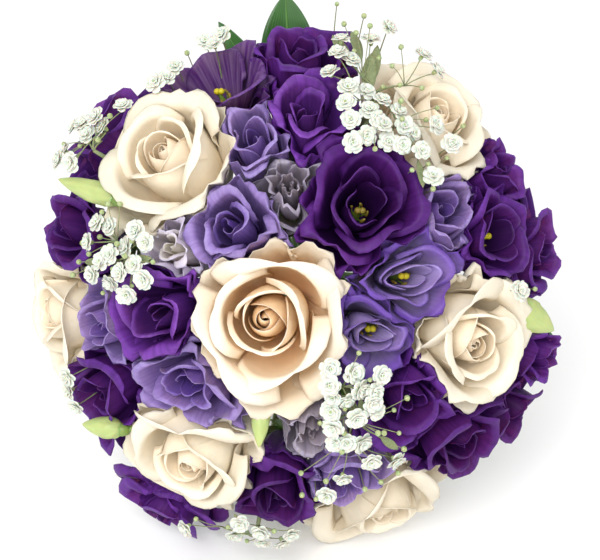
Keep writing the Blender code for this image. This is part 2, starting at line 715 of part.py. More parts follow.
def sleeve(name, thickness, low, high, steps, colour, collection):
    """A turned sleeve round the bundle, as a closed profile swept about the axis."""
    bm = bmesh.new()
    inner = (BUNDLE_RADIUS + GAP) / math.cos(math.pi / steps)
    corners = [(inner + thickness, high), (inner + thickness, low), (inner, low), (inner, high)]
    ring = [bm.verts.new((radius * MM, 0, level * MM)) for radius, level in corners]
    for k, vert in enumerate(ring):
        bm.edges.new((vert, ring[(k + 1) % len(ring)]))
    mesh = bpy.data.meshes.new(name)
    bm.to_mesh(mesh)
    bm.free()
    obj = link(mesh, name, collection)
    screw = obj.modifiers.new("turn", "SCREW")
    screw.steps = steps
    screw.render_steps = steps
    screw.merge_threshold = 1e-6
    screw.use_merge_vertices = True
    mesh.materials.append(MATERIALS[colour])
    obj.parent = AXIS
    return obj


def clear_scene():
    for obj in list(bpy.data.objects):
        bpy.data.objects.remove(obj)


def table_cutter(collection):
    """Everything under the table top, which presses the lowest petals and stem ends flat."""
    bm = bmesh.new()
    bmesh.ops.create_cube(bm, size=1)
    cutter = link(mesh_from(bm, "table_cutter"), "table_cutter", collection)
    cutter.scale = (1.0, 1.2, 0.1)
    cutter.location = (0, 0, -0.05)
    cutter.hide_render = True
    cutter.display_type = "WIRE"
    return cutter


def centre_on_origin(nodes):
    """Moves the laid bouquet along the table, so that the origin is under the middle of its box."""
    bpy.context.view_layer.update()
    graph = bpy.context.evaluated_depsgraph_get()
    corners = []
    for node in nodes:
        evaluated = node.evaluated_get(graph)
        mesh = evaluated.to_mesh()
        corners += [evaluated.matrix_world @ vert.co for vert in mesh.vertices]
        evaluated.to_mesh_clear()
    for axis in (0, 1):
        values = [corner[axis] for corner in corners]
        AXIS.location[axis] -= (min(values) + max(values)) / 2


SOLVER = "EXACT"
clear_scene()
PARTS = bpy.data.collections.new("bridal_bouquet")
CUTTERS = bpy.data.collections.new("cutters")
bpy.context.scene.collection.children.link(PARTS)
bpy.context.scene.collection.children.link(CUTTERS)
CUTTERS.hide_render = True
MATERIALS = {name: finish_for(name) for name in COLOURS}
AXIS = bpy.data.objects.new("bouquet_axis", None)
PARTS.objects.link(AXIS)
AXIS.location = (0, 0, HEAD_HEIGHT * MM)
AXIS.rotation_euler = (math.radians(90 - LEAN), 0, 0)
TABLE = table_cutter(CUTTERS)
bpy.context.view_layer.update()


def build():
    nodes = []
    for head in HEADS:
        if head.kind == "spray":
            nodes.append(spray(head, PARTS))
        elif head.kind != "bud":
            nodes.append(bloom(head, PARTS))
    for plant, heads in PLANTS.items():
        if heads[0].kind != "spray":
            nodes.append(stem(plant, PARTS))
    for sprig in SPRIGS:
        nodes.append(ruscus(sprig, PARTS))
    nodes.append(sleeve("ribbon", RIBBON_THICKNESS, *RIBBON_LEVELS, 16, "ribbon", PARTS))
    nodes.append(sleeve("tie", TIE_THICKNESS, TIE_LEVEL - 3, TIE_LEVEL + 3, 12, "twine", PARTS))
    centre_on_origin(nodes)


build()
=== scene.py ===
"""The looks of the bridal bouquet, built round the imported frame.

Every bloom, spray, stem and sprig of the frame is replaced by a finer piece of the same form. As in the
frame, a point is first worked out about the bouquet's own axis in millimetres (X right, Y up, Z out of the
blooms at the viewer), and then laid down on the table with the bouquet.
"""

import math
import random
from collections import namedtuple

import bpy
import numpy as np
from mathutils import Matrix, Vector


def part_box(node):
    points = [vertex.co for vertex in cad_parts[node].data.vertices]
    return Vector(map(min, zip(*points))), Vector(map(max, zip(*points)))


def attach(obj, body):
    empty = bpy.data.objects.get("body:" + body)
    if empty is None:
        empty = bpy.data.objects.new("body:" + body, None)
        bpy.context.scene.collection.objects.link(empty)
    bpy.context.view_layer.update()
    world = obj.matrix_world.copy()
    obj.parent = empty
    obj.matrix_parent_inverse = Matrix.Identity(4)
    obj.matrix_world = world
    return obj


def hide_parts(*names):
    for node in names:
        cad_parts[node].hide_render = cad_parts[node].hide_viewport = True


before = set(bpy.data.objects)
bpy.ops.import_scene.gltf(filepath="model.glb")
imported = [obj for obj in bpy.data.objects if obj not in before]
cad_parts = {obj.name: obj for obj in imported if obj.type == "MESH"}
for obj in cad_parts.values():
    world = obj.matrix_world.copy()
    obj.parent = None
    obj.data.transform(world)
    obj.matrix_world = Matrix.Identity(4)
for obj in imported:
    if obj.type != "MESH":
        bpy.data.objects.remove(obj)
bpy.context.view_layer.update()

MM = 0.001
GOLDEN = math.pi * (3 - math.sqrt(5))

# The dome and the handle, as in the frame
FACE_RADIUS = 148.0
CAP_RADIUS = 153.5
LEAN = math.radians(28.0)
TILT = math.pi / 2 - LEAN
HEAD_HEIGHT = 99.0
RIBBON_LEVELS = (-136.0, -46.0)
TIE_LEVEL = -40.0
FORK_LEVEL = -22.0
TAIL_FLARE = 1.10
GAP = 0.35
BRANCH = 1.5
SPRAY_STEM = 1.9
SPRAY_ROOM = 5.0
SPRAY_BEND = 108.0
HUB_LIFT = 0.5
TABLE_CLEARANCE = 0.0002
BUNDLE_SPREAD = 17.0
STEM_GAP = 0.63
PRESSING_ROUNDS = 900
PULL_IN = 0.998
PUSH_APART = 0.4

# The photograph's size in pixels, the pixel where the bouquet's axis shows, its pixels to a slope of one, and
# where it was taken from
PICTURE = (600, 560)
MIDDLE = (300.0, 275.0)
PIXELS = 1460.0
EYE = np.array([0, 0, 800.0])

# The kinds of head: their rank among neighbours, the share of their width that they take up on the dome,
# their depth, the radius of their stem, and how far the heart may lie off the middle. The pairs are for a
# bloom's own petals and its guard petals: how square its outline is, how wide it may spread, and the rows and
# columns of a petal.
Kind = namedtuple("Kind", "rank share depth stem aside corners spread grid", defaults=[None] * 4)
KINDS = {
    "rose": Kind(3, 1.08, 50.0, 2.7, (0.04, 0.12), (6, 8), (1.06, 1.24), ((20, 21), (17, 31))),
    "open": Kind(2, 1.05, 42.0, 2.5, (0.05, 0.05), (9, 16), (1.3, 1.7), ((17, 18), (14, 29))),
    "double": Kind(1, 1.0, 42.0, 2.5, (0.10, 0.24), (12, 16), (1.5, 1.8), ((16, 18), (14, 29))),
    "cup": Kind(1, 1.0, 44.0, 2.5, (0.08, 0.18), (12, 16), (1.6, 1.9), ((15, 16), (14, 25))),
    "wilted": Kind(0, 1.0, 42.0, 2.5, (0.05, 0.05), (16, 22), (1.8, 2.0), ((15, 18), (14, 25))),
    "bud": Kind(0, 0.9, 34.0, 2.5),
    "spray": Kind(0, None, 0.0, SPRAY_STEM),
}
# How much of its width a bloom at the rim takes outwards, and where the photograph shows less or more
RIM_EDGE = 0.85
RIM_EDGES = {
    "purple_right_rim": 0.40, "purple_upper_right": 0.45, "purple_right_lower": 0.40, "purple_left_rim": 0.45,
    "purple_far_left": 0.25, "purple_bottom_left": 0.05, "rose_left": 0.50, "rose_bottom": 0.50,
    "purple_bottom": 1.35, "purple_right_small": 0.30,
}
# How much narrower than their kind some blooms are
SNUG = {
    "rose_upper_right": 0.86, "rose_bottom": 0.92, "rose_left": 0.94, "purple_bottom_left": 0.7,
    "purple_far_left": 0.85, "purple_bottom": 0.94, "purple_right_small": 0.64, "purple_right_lower": 0.9,
    "purple_lower_right": 0.92,
}

Head = namedtuple("Head", "name kind across up width lift plant")
Place = namedtuple("Place", "out right up reach half_angle foot")
Sprig = namedtuple("Sprig", "name azimuth polar reach")

HEADS = [
    Head("rose_centre", "rose", -15, -23, 68, 4, "rose_centre"),
    Head("rose_upper_left", "rose", -66, 59, 63, 4, "rose_upper_left"),
    Head("rose_left", "rose", -127, -18, 56, 0, "rose_left"),
    Head("rose_lower_left", "rose", -56, -93, 64, 2, "rose_lower_left"),
    Head("rose_right", "rose", 86, -34, 56, 2, "rose_right"),
    Head("rose_upper_right", "rose", 70, 79, 62, -2, "rose_upper_right"),
    Head("rose_bottom", "rose", 45, -122, 63, -2, "rose_bottom"),
    Head("purple_top_left", "open", -43, 98, 44, 0, "top"),
    Head("purple_top", "double", -3, 111, 36, 0, "top"),
    Head("purple_upper", "double", 4, 76, 37, 0, "top"),
    Head("purple_heart", "open", 31, 33, 57, 3, "heart"),
    Head("purple_right_upper", "open", 97, 20, 40, 0, "right"),
    Head("purple_right_rim", "double", 123, 13, 42, -2, "right"),
    Head("purple_upper_right", "double", 101, 52, 36, -2, "right"),
    Head("purple_left", "double", -67, -18, 43, 2, "left"),
    Head("purple_lower_left", "double", -101, -59, 47, 0, "lower_left"),
    Head("purple_left_rim", "double", -119, 24, 51, 0, "left_rim"),
    Head("purple_bottom", "double", -12, -111, 42, 0, "bottom"),
    Head("purple_lower", "double", 54, -58, 39, 0, "lower_right"),
    Head("purple_lower_right", "double", 83, -86, 43, 0, "lower_right"),
    Head("purple_right_lower", "double", 111, -71, 38, -2, "lower_right"),
    Head("purple_right_small", "cup", 126, -42, 26, 2, "right"),
    Head("purple_far_left", "double", -104, 75, 47, -4, "top"),
    Head("purple_bottom_left", "double", -73, -125, 37, 7, "lower_left"),
    Head("lilac_upper", "cup", -21, 66, 33, 0, "lilac_upper"),
    Head("grey_upper", "wilted", -6, 42, 30, -3, "lilac_upper"),
    Head("lilac_centre_left", "double", -32, 23, 39, 0, "lilac_upper"),
    Head("lilac_small", "double", -60, 13, 26, -2, "lilac_upper"),
    Head("lilac_left", "cup", -99, -25, 30, -2, "left"),
    Head("lilac_lower_left", "double", -55, -53, 45, -1, "lower_left"),
    Head("lilac_right", "open", 52, -1, 44, 1, "heart"),
    Head("lilac_centre_right", "open", 34, -28, 37, 0, "heart"),
    Head("lilac_upper_right", "cup", 70, 31, 36, -1, "heart"),
    Head("lilac_lower", "cup", 20, -105, 32, -2, "bottom"),
    Head("grey_lower", "wilted", 6, -75, 28, -4, "bottom"),
    Head("gypsophila_upper_right", "spray", 36, 87, 48, 10, "gypsophila_upper_right"),
    Head("gypsophila_left", "spray", -81, 8, 37, 10, "gypsophila_left"),
    Head("gypsophila_lower_right", "spray", 26, -62, 41, 10, "gypsophila_lower_right"),
    Head("gypsophila_far_left", "spray", -101, 61, 27, 10, "gypsophila_far_left"),
    Head("gypsophila_bottom", "spray", -22, -131, 22, 10, "gypsophila_bottom"),
    Head("bud_left", "bud", -109, 44, 20, 0, "left_rim"),
    Head("bud_lower_left", "bud", -109, -82, 20, 0, "lower_left"),
    Head("bud_right", "bud", 124, -20, 22, 0, "right"),
    Head("bud_lower", "bud", -18, -78, 16, 0, "bottom"),
]

SPRIGS = [
    Sprig("ruscus_top", 93, 67, 92),
    Sprig("ruscus_right", -13, 86, 86),
]


def unit(vector):
    return vector / np.linalg.norm(vector)


def bend(first, second, last, count):
    """A route from the first point to the last that bends towards the second."""
    steps = np.linspace(0, 1, count)[:, None]
    return (1 - steps) ** 2 * first + 2 * steps * (1 - steps) * second + steps**2 * last


def swing(steps, *spots):
    """Points along the cubic curve that four points lead."""
    weights = (1 - steps) ** 3, 3 * steps * (1 - steps) ** 2, 3 * steps**2 * (1 - steps), steps**3
    return sum(weight * spot for weight, spot in zip(weights, spots))


def around(steps):
    """Turns spread evenly round a circle."""
    return np.linspace(0, 2 * np.pi, steps, endpoint=False)


def any_phase(rng):
    return rng.uniform(0, 6.28)


def place_of(head):
    kind = KINDS[head.kind]
    reach = FACE_RADIUS + head.lift
    along = math.sqrt(max(0.0, reach**2 - head.across**2 - head.up**2))
    out = unit(np.array([head.across, head.up, along]))
    right = unit(np.cross((0.0, 1.0, 0.0), out))
    room = SPRAY_ROOM if head.kind == "spray" else kind.share * head.width
    return Place(out, right, np.cross(out, right), reach, math.atan(room / 2 / reach), reach - kind.depth)


PLACES = {head.name: place_of(head) for head in HEADS}
TABLE_NORMAL = np.array([0.0, math.cos(LEAN), math.sin(LEAN)])
TURN = np.array(Matrix.Rotation(TILT, 3, "X"))
RIBBON_LOW, RIBBON_HIGH = (np.array(corner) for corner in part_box("ribbon"))
CENTRE = (RIBBON_LOW + RIBBON_HIGH) / 2 - TURN @ np.array([0, 0, sum(RIBBON_LEVELS) / 2 * MM])


def axes_of(head, drop=0.0, across=0.0, up=0.0):
    """The foot of a head, or a point a little way off it, and its right, up and out directions."""
    place = PLACES[head.name]
    foot = place.out * (place.foot - drop) + across * place.right + up * place.up
    return foot, place.right, place.up, place.out


def laid(points):
    """Points about the bouquet's axis in millimetres, as points in the room in metres."""
    return (np.asarray(points) * MM) @ TURN.T + CENTRE


def seen(across, down, reach):
    """The point at this distance from the bouquet's centre that shows at a pixel of the photograph."""
    slope = np.array([(across - MIDDLE[0]) / PIXELS, (MIDDLE[1] - down) / PIXELS, -1.0])
    size = slope @ slope
    inside = EYE[2] ** 2 - size * (EYE[2] ** 2 - reach**2)
    return EYE + (EYE[2] - math.sqrt(max(0.0, inside))) / size * slope


def above_table(point, clearance):
    """Lifts a point of the bouquet that would lie under the table."""
    sunk = clearance - HEAD_HEIGHT - point @ TABLE_NORMAL
    return point + max(0.0, sunk) * TABLE_NORMAL


# Room between neighbours
RIM_DROP = 12.0  # how far below its face a bloom meets its neighbours
OUTER_RING = 0.74  # a head that leans out more than this stands at the rim
NEIGHBOURS = math.radians(75)  # how far apart neighbours may stand on the dome
OVERHANG = 0.32  # how far a wall leans over the lesser of its neighbours
EQUALS = 0.6  # the share of that between neighbours of one rank
WAVE = 3.0
WAVE_LENGTHS = (27.0, 13.0)
SECOND_WAVE = 0.6
BEND_FROM = 0.9  # the share of its room from which a petal bends back
MARGIN = 0.2
Wall = namedtuple("Wall", "normal limit along wave phases")


def overhang(head, other):
    """How far the wall between two heads leans: the grander one spreads over its neighbour."""
    mine, theirs = ((KINDS[each.kind].rank, each.lift, each.width, each.name) for each in (head, other))
    strength = OVERHANG if mine[0] != theirs[0] else EQUALS * OVERHANG
    return strength if mine > theirs else -strength


def walls_of(head):
    """The wavy, leaning walls that part this head from the others.

    Each has its inward normal, its distance, the direction along it, and the size and phases of its waves.
    """
    own = PLACES[head.name]
    walls = []
    for other in HEADS:
        place = PLACES[other.name]
        apart = math.acos(np.clip(own.out @ place.out, -1, 1))
        if other is head or apart > NEIGHBOURS:
            continue
        share = apart * own.half_angle / (own.half_angle + place.half_angle)
        across = unit(place.out - (own.out @ place.out) * own.out)
        normal = math.sin(share) * own.out - math.cos(share) * across
        edge = math.cos(share) * own.out + math.sin(share) * across
        lean = 0.0 if other.kind == "spray" else overhang(head, other)
        level = (own.reach + place.reach) / 2 - RIM_DROP
        first, second = sorted((head.name, other.name))
        rng = random.Random(first + second)
        sign = 1 if head.name == first else -1
        normal = math.cos(lean) * normal + math.sin(lean) * edge
        along = sign * unit(np.cross(own.out, place.out))
        size = 0.0 if other.kind == "spray" else sign * WAVE
        walls.append(Wall(normal, math.sin(lean) * level, along, size, (any_phase(rng), any_phase(rng))))
    if own.out[2] < OUTER_RING:
        away = unit(own.out[2] * own.out - (0.0, 0.0, 1.0))
        edge = RIM_EDGES.get(head.name, RIM_EDGE) * own.half_angle
        normal = math.sin(edge) * own.out - math.cos(edge) * away
        walls.append(Wall(normal, 0.0, own.out, 0.0, (0.0, 0.0)))
    return Wall(*(np.array(values) for values in zip(*walls)))


class Room:
    """How far a bloom may spread in each direction round its own axis."""

    STEPS = 240
    NARROWEST = 1.0
    ROUNDING = 8

    def __init__(self, head):
        place = PLACES[head.name]
        kind = KINDS[head.kind]
        self.walls = walls_of(head)
        self.turn = around(self.STEPS)
        side = np.cos(self.turn)[:, None] * place.right + np.sin(self.turn)[:, None] * place.up
        toward = np.maximum(-(side @ self.walls.normal.T), 1e-4)
        level = (place.reach - RIM_DROP) * (self.walls.normal @ place.out)
        closeness = toward / np.maximum(level - self.walls.limit - MARGIN / 2, self.NARROWEST)
        self.reach = []
        for corners, spread in zip(kind.corners, kind.spread):
            wide = spread * SNUG.get(head.name, 1.0) * head.width / 2
            reach = (closeness**corners).sum(axis=1) ** (-1 / corners)
            self.reach.append(reach * (1 + (reach / wide) ** self.ROUNDING) ** (-1 / self.ROUNDING))
        self.mean = float(self.reach[0].mean())

    def at(self, turn, guard):
        """The reach of the bloom's own petals in these directions, or of its guard petals."""
        return np.interp(np.mod(turn, 2 * np.pi), self.turn, self.reach[guard], period=2 * np.pi)


ROOMS = {head.name: Room(head) for head in HEADS if KINDS[head.kind].grid}


def settle(head, x, y, height):
    """Bends points that would leave the head's cell, the dome or the table back inside."""
    place = PLACES[head.name]
    walls = ROOMS[head.name].walls
    side = x[..., None] * place.right + y[..., None] * place.up
    raised = height[..., None] * place.out
    toward = -(side @ walls.normal.T)
    flat = -(side @ TABLE_NORMAL)
    flat_room = np.maximum(height * (TABLE_NORMAL @ place.out) + HEAD_HEIGHT - MARGIN, 1e-3)
    points = side + raised
    for _ in range(3):
        along = points @ walls.along.T
        wave = sum(
            strength * np.sin(2 * np.pi * along / length + walls.phases[:, k])
            for k, (strength, length) in enumerate(zip((1.0, SECOND_WAVE), WAVE_LENGTHS))
        )
        limit = walls.limit + MARGIN - walls.wave * wave
        room = height[..., None] * (walls.normal @ place.out) - limit
        use = np.max(np.where(toward > 1e-6, toward / np.maximum(room, 1e-3), 0.0), axis=-1)
        use = np.maximum(use, np.where(flat > 1e-6, flat / flat_room, 0.0))
        span = 1 - BEND_FROM
        bent = np.where(use > BEND_FROM, BEND_FROM + span * np.tanh((use - BEND_FROM) / span), use)
        keep = np.where(use > 1e-6, bent / np.maximum(use, 1e-6), 1.0)
        points = side * keep[..., None] + raised
    distance = np.linalg.norm(points, axis=-1, keepdims=True)
    return points * np.minimum(1.0, (CAP_RADIUS + 1.0) / distance)


def petal_data(along, across, layer, chance):
    """The colour data of points: how far along and across (-1 to 1) they are, a layer and a chance value."""
    return np.stack(np.broadcast_arrays(along, (across + 1) / 2, layer, chance), axis=-1)


# Mesh building
class Skin:
    """Gathers grids of points into one mesh with a per-point colour attribute that materials read."""

    def __init__(self):
        self.points, self.faces, self.data, self.count = [], [], [], 0

    def add(self, points, faces, data):
        points = np.asarray(points, float).reshape(-1, 3)
        self.points.append(points)
        self.faces.append(np.asarray(faces, int) + self.count)
        self.data.append(data)
        self.count += len(points)

    def sheet(self, middle, data, thickness):
        """A thin closed blade about a grid of points, rows by columns, as thick as it is given at each point.
        """
        rows, columns = middle.shape[:2]
        normal = np.cross(*np.gradient(middle, axis=(0, 1)))
        normal /= np.maximum(np.linalg.norm(normal, axis=-1, keepdims=True), 1e-9)
        half = np.broadcast_to(thickness, (rows, columns))[..., None] / 2
        top, under = middle + normal * half, middle - normal * half
        index = np.arange(rows * columns).reshape(rows, columns)
        corners = index[:-1, :-1], index[:-1, 1:], index[1:, 1:], index[1:, :-1]
        quads = np.stack(corners, axis=-1).reshape(-1, 4)
        rim = np.concatenate([index[0, :-1], index[:-1, -1], index[-1, :0:-1], index[:0:-1, 0]])
        after = np.roll(rim, -1)
        offset = rows * columns
        sides = np.stack([rim, rim + offset, after + offset, after], axis=-1)
        faces = np.vstack([quads, quads[:, ::-1] + offset, sides])
        self.add([top, under], faces, np.tile(data.reshape(-1, 4), (2, 1)))

    def tube(self, route, radii, sides, layer=0.0, chance=0.5):
        """A closed round tube along a route."""
        route = np.asarray(route, float)
        radii = np.broadcast_to(np.asarray(radii, float), (len(route),))
        along = np.gradient(route, axis=0)
        along /= np.linalg.norm(along, axis=1, keepdims=True)
        turn = around(sides)
        least = np.eye(3)[np.argmin(np.abs(along[0]))]
        side = unit(np.cross(along[0], least))
        rings = []
        for centre, direction, radius in zip(route, along, radii):
            side = unit(side - (side @ direction) * direction)
            other = np.cross(direction, side)
            rings.append(centre + radius * (np.cos(turn)[:, None] * side + np.sin(turn)[:, None] * other))
        self.close_rings(rings, (route[0], route[-1]), np.linspace(0, 1, len(route)), layer, chance)

    def close_rings(self, rings, poles, shares, layer, chance):
        """Skins a stack of rings, each at its share of the length, and closes it at both poles."""
        count, sides = np.shape(rings)[:2]
        data = np.empty((count * sides + 2, 4))
        data[:, 0] = [*np.repeat(shares, sides), 0, 1]
        data[:, 1] = [*np.tile(around(sides) / (2 * np.pi), count), 0, 0]
        data[:, 2:] = layer, chance
        index = np.arange(count * sides).reshape(count, sides)
        ahead = np.roll(index, -1, axis=1)
        quads = np.stack([index[:-1], ahead[:-1], ahead[1:], index[1:]], axis=-1).reshape(-1, 4)
        first, last = count * sides, count * sides + 1
        caps = [(ahead[0, k], index[0, k], first, first) for k in range(sides)]
        caps += [(index[-1, k], ahead[-1, k], last, last) for k in range(sides)]
        self.add(np.vstack([*rings, poles]), np.vstack([quads, caps]), data)

    def turned(self, rings, axes, sides, layer=0.0, chance=0.5, ridges=None):
        """A closed turned body: rings are (radius, height) pairs from one pole to the other.

        axes are its origin and its right, up and out directions. ridges(turn, share) may vary the radius.
        """
        origin, right, up, out = axes
        turn = around(sides)
        circle = np.cos(turn)[:, None] * right + np.sin(turn)[:, None] * up
        shares = np.linspace(0, 1, len(rings))[1:-1]
        body = []
        for (radius, height), share in zip(rings[1:-1], shares):
            swell = ridges(turn, share)[:, None] if ridges else 1.0
            body.append(origin + radius * swell * circle + height * out)
        poles = origin + rings[0][1] * out, origin + rings[-1][1] * out
        self.close_rings(body, poles, shares, layer, chance)

    def build(self, name, material, slot, *nodes):
        """The finished piece, on the bouquet's body, standing for the frame's nodes."""
        points = laid(np.vstack(self.points))
        points[:, 2] = np.maximum(points[:, 2], TABLE_CLEARANCE)
        faces = [tuple(face[:3]) if face[2] == face[3] else tuple(face) for face in np.vstack(self.faces)]
        mesh = bpy.data.meshes.new(name)
        mesh.from_pydata(points.tolist(), [], faces)
        layer = mesh.attributes.new("petal", "FLOAT_COLOR", "POINT")
        layer.data.foreach_set("color", np.vstack(self.data).astype(np.float32).ravel())
        mesh.materials.append(material)
        mesh.shade_smooth()
        mesh.update()
        obj = bpy.data.objects.new(name, mesh)
        bpy.context.scene.collection.objects.link(obj)
        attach(obj, "root")
        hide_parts(*nodes)


# Petals
# Each style gives a bloom's form from its heart (0) to its outermost petals (1): radii are shares of the
# room it has, heights are millimetres above its foot, and curl is how far the rim turns over, in radians.
# Guard petals stand evenly under the spiral ones and close the gaps to the bloom's neighbours.
Style = namedtuple(
    "Style", "count at rim_r rim_h belly_r belly_h low_r low_h curl roll wide ruffle waves point"
)
STYLES = {
    "rose": Style(
        16, (0, 0.12, 0.25, 0.4, 0.55, 0.7, 0.85, 1.0), (0.0, 0.07, 0.15, 0.26, 0.40, 0.58, 0.80, 0.98),
        (46, 46.5, 47.5, 48.5, 48.5, 46.5, 43, 37), (0.14, 0.21, 0.30, 0.40, 0.52, 0.66, 0.80, 0.90),
        (41.5, 41, 40.5, 39.5, 38.5, 37.5, 36, 32), (0.13, 0.21, 0.29, 0.38, 0.48, 0.58, 0.68, 0.76),
        (15, 14, 13, 12, 10, 9, 8, 7), (0.0, 0.3, 0.8, 1.2, 1.6, 2.0, 2.2, 2.3),
        (0.4, 0.6, 1.0, 1.5, 2.6, 4.6, 6.6, 7.6), (2.6, 2.2, 1.8, 1.45, 1.25, 1.15, 1.05, 1.0),
        (0.0, 0.1, 0.2, 0.35, 0.5, 0.8, 1.0, 1.2), 1.3, 0.45,
    ),
    "double": Style(
        9, (0, 0.2, 0.4, 0.6, 0.8, 1.0), (0.06, 0.20, 0.40, 0.62, 0.86, 1.02), (36, 39, 41, 40.5, 38, 33),
        (0.18, 0.34, 0.50, 0.66, 0.80, 0.90), (26, 28, 29, 29, 28, 25),
        (0.13, 0.24, 0.36, 0.48, 0.58, 0.68), (11, 10, 9, 8, 7, 6), (0.5, 1.0, 1.5, 1.9, 2.1, 2.2),
        (0.8, 1.3, 2.2, 3.2, 4.0, 4.4), (2.2, 1.8, 1.5, 1.3, 1.15, 1.05), (1.2, 1.8, 2.4, 3.0, 3.3, 3.4),
        1.4, 0.0,
    ),
    "open": Style(
        10, (0, 0.2, 0.4, 0.6, 0.8, 1.0), (0.42, 0.50, 0.60, 0.78, 0.92, 1.04),
        (38, 39.5, 40, 38.5, 36, 33), (0.34, 0.42, 0.52, 0.62, 0.74, 0.84), (26, 27, 26, 25, 24, 23),
        (0.18, 0.22, 0.28, 0.36, 0.46, 0.56), (9, 9, 8, 8, 7, 6), (0.8, 1.1, 1.5, 1.8, 2.0, 2.1),
        (1.3, 1.7, 2.2, 2.9, 3.4, 3.8), (1.35, 1.3, 1.2, 1.12, 1.06, 1.0), (1.0, 1.4, 1.9, 2.4, 2.7, 2.9),
        1.6, 0.0,
    ),
    "deep": Style(
        12, (0, 0.2, 0.4, 0.6, 0.8, 1.0), (0.24, 0.36, 0.50, 0.67, 0.86, 1.03),
        (36, 39, 40.5, 40, 37.5, 33.5), (0.30, 0.40, 0.50, 0.62, 0.74, 0.86), (26, 27, 27, 26, 25, 24),
        (0.17, 0.22, 0.28, 0.36, 0.46, 0.56), (9, 9, 8, 8, 7, 6), (1.0, 1.3, 1.6, 1.9, 2.1, 2.1),
        (1.2, 1.6, 2.2, 3.0, 3.8, 4.2), (1.2, 1.2, 1.15, 1.1, 1.05, 1.0), (2.0, 2.4, 2.6, 2.8, 3.0, 3.0),
        1.6, 0.0,
    ),
    "trumpet": Style(
        6, (0, 0.35, 0.7, 1.0), (0.78, 0.90, 1.0, 1.06), (38.5, 37.5, 36, 34), (0.50, 0.60, 0.70, 0.80),
        (27, 26, 25, 24), (0.20, 0.26, 0.34, 0.44), (8, 8, 7, 6), (1.2, 1.6, 1.9, 2.1),
        (1.6, 2.4, 3.2, 3.8), (1.2, 1.15, 1.1, 1.05), (1.2, 1.8, 2.3, 2.7), 1.4, 0.0,
    ),
    "cup": Style(
        8, (0, 0.25, 0.5, 0.75, 1.0), (0.08, 0.26, 0.46, 0.70, 0.94), (38, 42, 43.5, 43, 40),
        (0.18, 0.36, 0.54, 0.72, 0.90), (27, 29, 30, 30, 28), (0.14, 0.28, 0.42, 0.58, 0.74),
        (11, 10, 9, 8, 7), (0.4, 0.8, 1.3, 1.7, 1.9), (0.7, 1.0, 1.5, 2.2, 2.8), (2.0, 1.6, 1.35, 1.2, 1.1),
        (0.4, 0.9, 1.4, 1.9, 2.2), 1.6, 0.0,
    ),
    "wilted": Style(
        9, (0, 0.25, 0.5, 0.75, 1.0), (0.08, 0.26, 0.46, 0.68, 0.92), (37, 41, 42, 40, 35),
        (0.14, 0.30, 0.44, 0.62, 0.84), (27, 29, 29, 28, 25), (0.14, 0.26, 0.38, 0.54, 0.74),
        (11, 10, 9, 8, 7), (0.3, 0.9, 1.5, 1.9, 2.1), (0.5, 0.9, 1.2, 1.6, 1.9), (1.6, 1.3, 1.1, 0.95, 0.9),
        (1.2, 2.0, 2.8, 3.2, 3.4), 3.4, 0.0,
    ),
}

GUARDS = 5
GUARD_WIDTH = 0.92
GUARD_DROP = 2.0
GUARD_FOLD = 0.5
GUARD_START, GUARD_SHIFT = 0.5, 0.08  # the turn of the first one, and how far each may stand off its turn
GUARD_SIZE, GUARD_GROWTH, GUARD_TILT = 1.02, 0.04, 0.6  # their reach, and how one side outgrows the other
# How petals differ in width, in reach and, in millimetres, in height
WIDTHS, REACHES, HEIGHTS = (0.94, 1.1), (0.93, 1.06), (-1.2, 1.2)
PETAL_THICKNESS = 0.45
THINNING, THINNEST = 1.8, 0.35  # how fast a petal thins towards its rim, and to what share
CURL_FROM = 0.80  # the share of its length from which a petal's rim turns over
ROWS_BELOW_CURL = 0.6
COLUMN_SPREAD = np.pi / 2 * 0.8  # columns stand closer at the sides of a petal
SHOULDERS = ((0.32, 3.0), (0.40, 2.4))  # how far the shoulders of own and guard petals sink, and how late
ROOT_REACH, ROOT_LEVEL = 0.35, 0.45  # a petal's root, as shares of its lowest point
ROOT_WIDTH, WIDE_FROM = 0.25, 0.5
ROUND_HEART, FILLING = 0.15, 0.6  # where the heart ends, and how much farther out the room is filled
FLAT_RIM = 1.2  # a rim that turns over less than this reaches out too
UNEVEN_CURL, UNEVEN_RATE = 0.2, 3.1
# The size of the folds upwards and outwards, how late they grow, and the size and rate of a second wave
FOLD_UP, FOLD_OUT, FOLD_LATE, SECOND_FOLD, SECOND_RATE = 0.55, 0.5, 2.2, 0.4, 2.3
FRILL, FRILL_RATE, FRILL_LATE = 0.12, 7.3, 6
DENT, DENT_ACROSS, DENT_ALONG = 0.7, 2.1, 2.6
LEAST_RADIUS = 0.25
# The solid core under the heart: its width as a share of the room, and its rings of radius and height
CORE = 0.24
CORE_RINGS = [(0, 0.3), (0.35, 0.6), (0.8, 4), (1, 9), (0.8, 13), (0, 15)]
STYLE_OF = {"purple_heart": "deep", "purple_top_left": "trumpet", "lilac_lower_left": "deep"}
# The opening of some blooms is a slit: its direction in degrees, and how far it is pressed together
PINCH = {
    "lilac_right": (12, 0.68), "lilac_centre_right": (4, 0.72), "lilac_left": (20, 0.3),
    "lilac_lower_left": (-14, 0.42),
}


class Character:
    """What makes one bloom unlike another: how its spiral is turned, and where its heart lies."""

    def __init__(self, head):
        rng = random.Random(head.name + "character")
        self.spin = rng.uniform(0, 2 * math.pi)
        self.hand = rng.choice((-1, 1))
        aside = rng.uniform(*KINDS[head.kind].aside)
        angle = rng.uniform(0, 2 * math.pi)
        self.heart = aside * math.cos(angle), aside * math.sin(angle)
        direction, self.pinch = PINCH.get(head.name, (0, 0.0))
        self.slit = math.radians(direction)


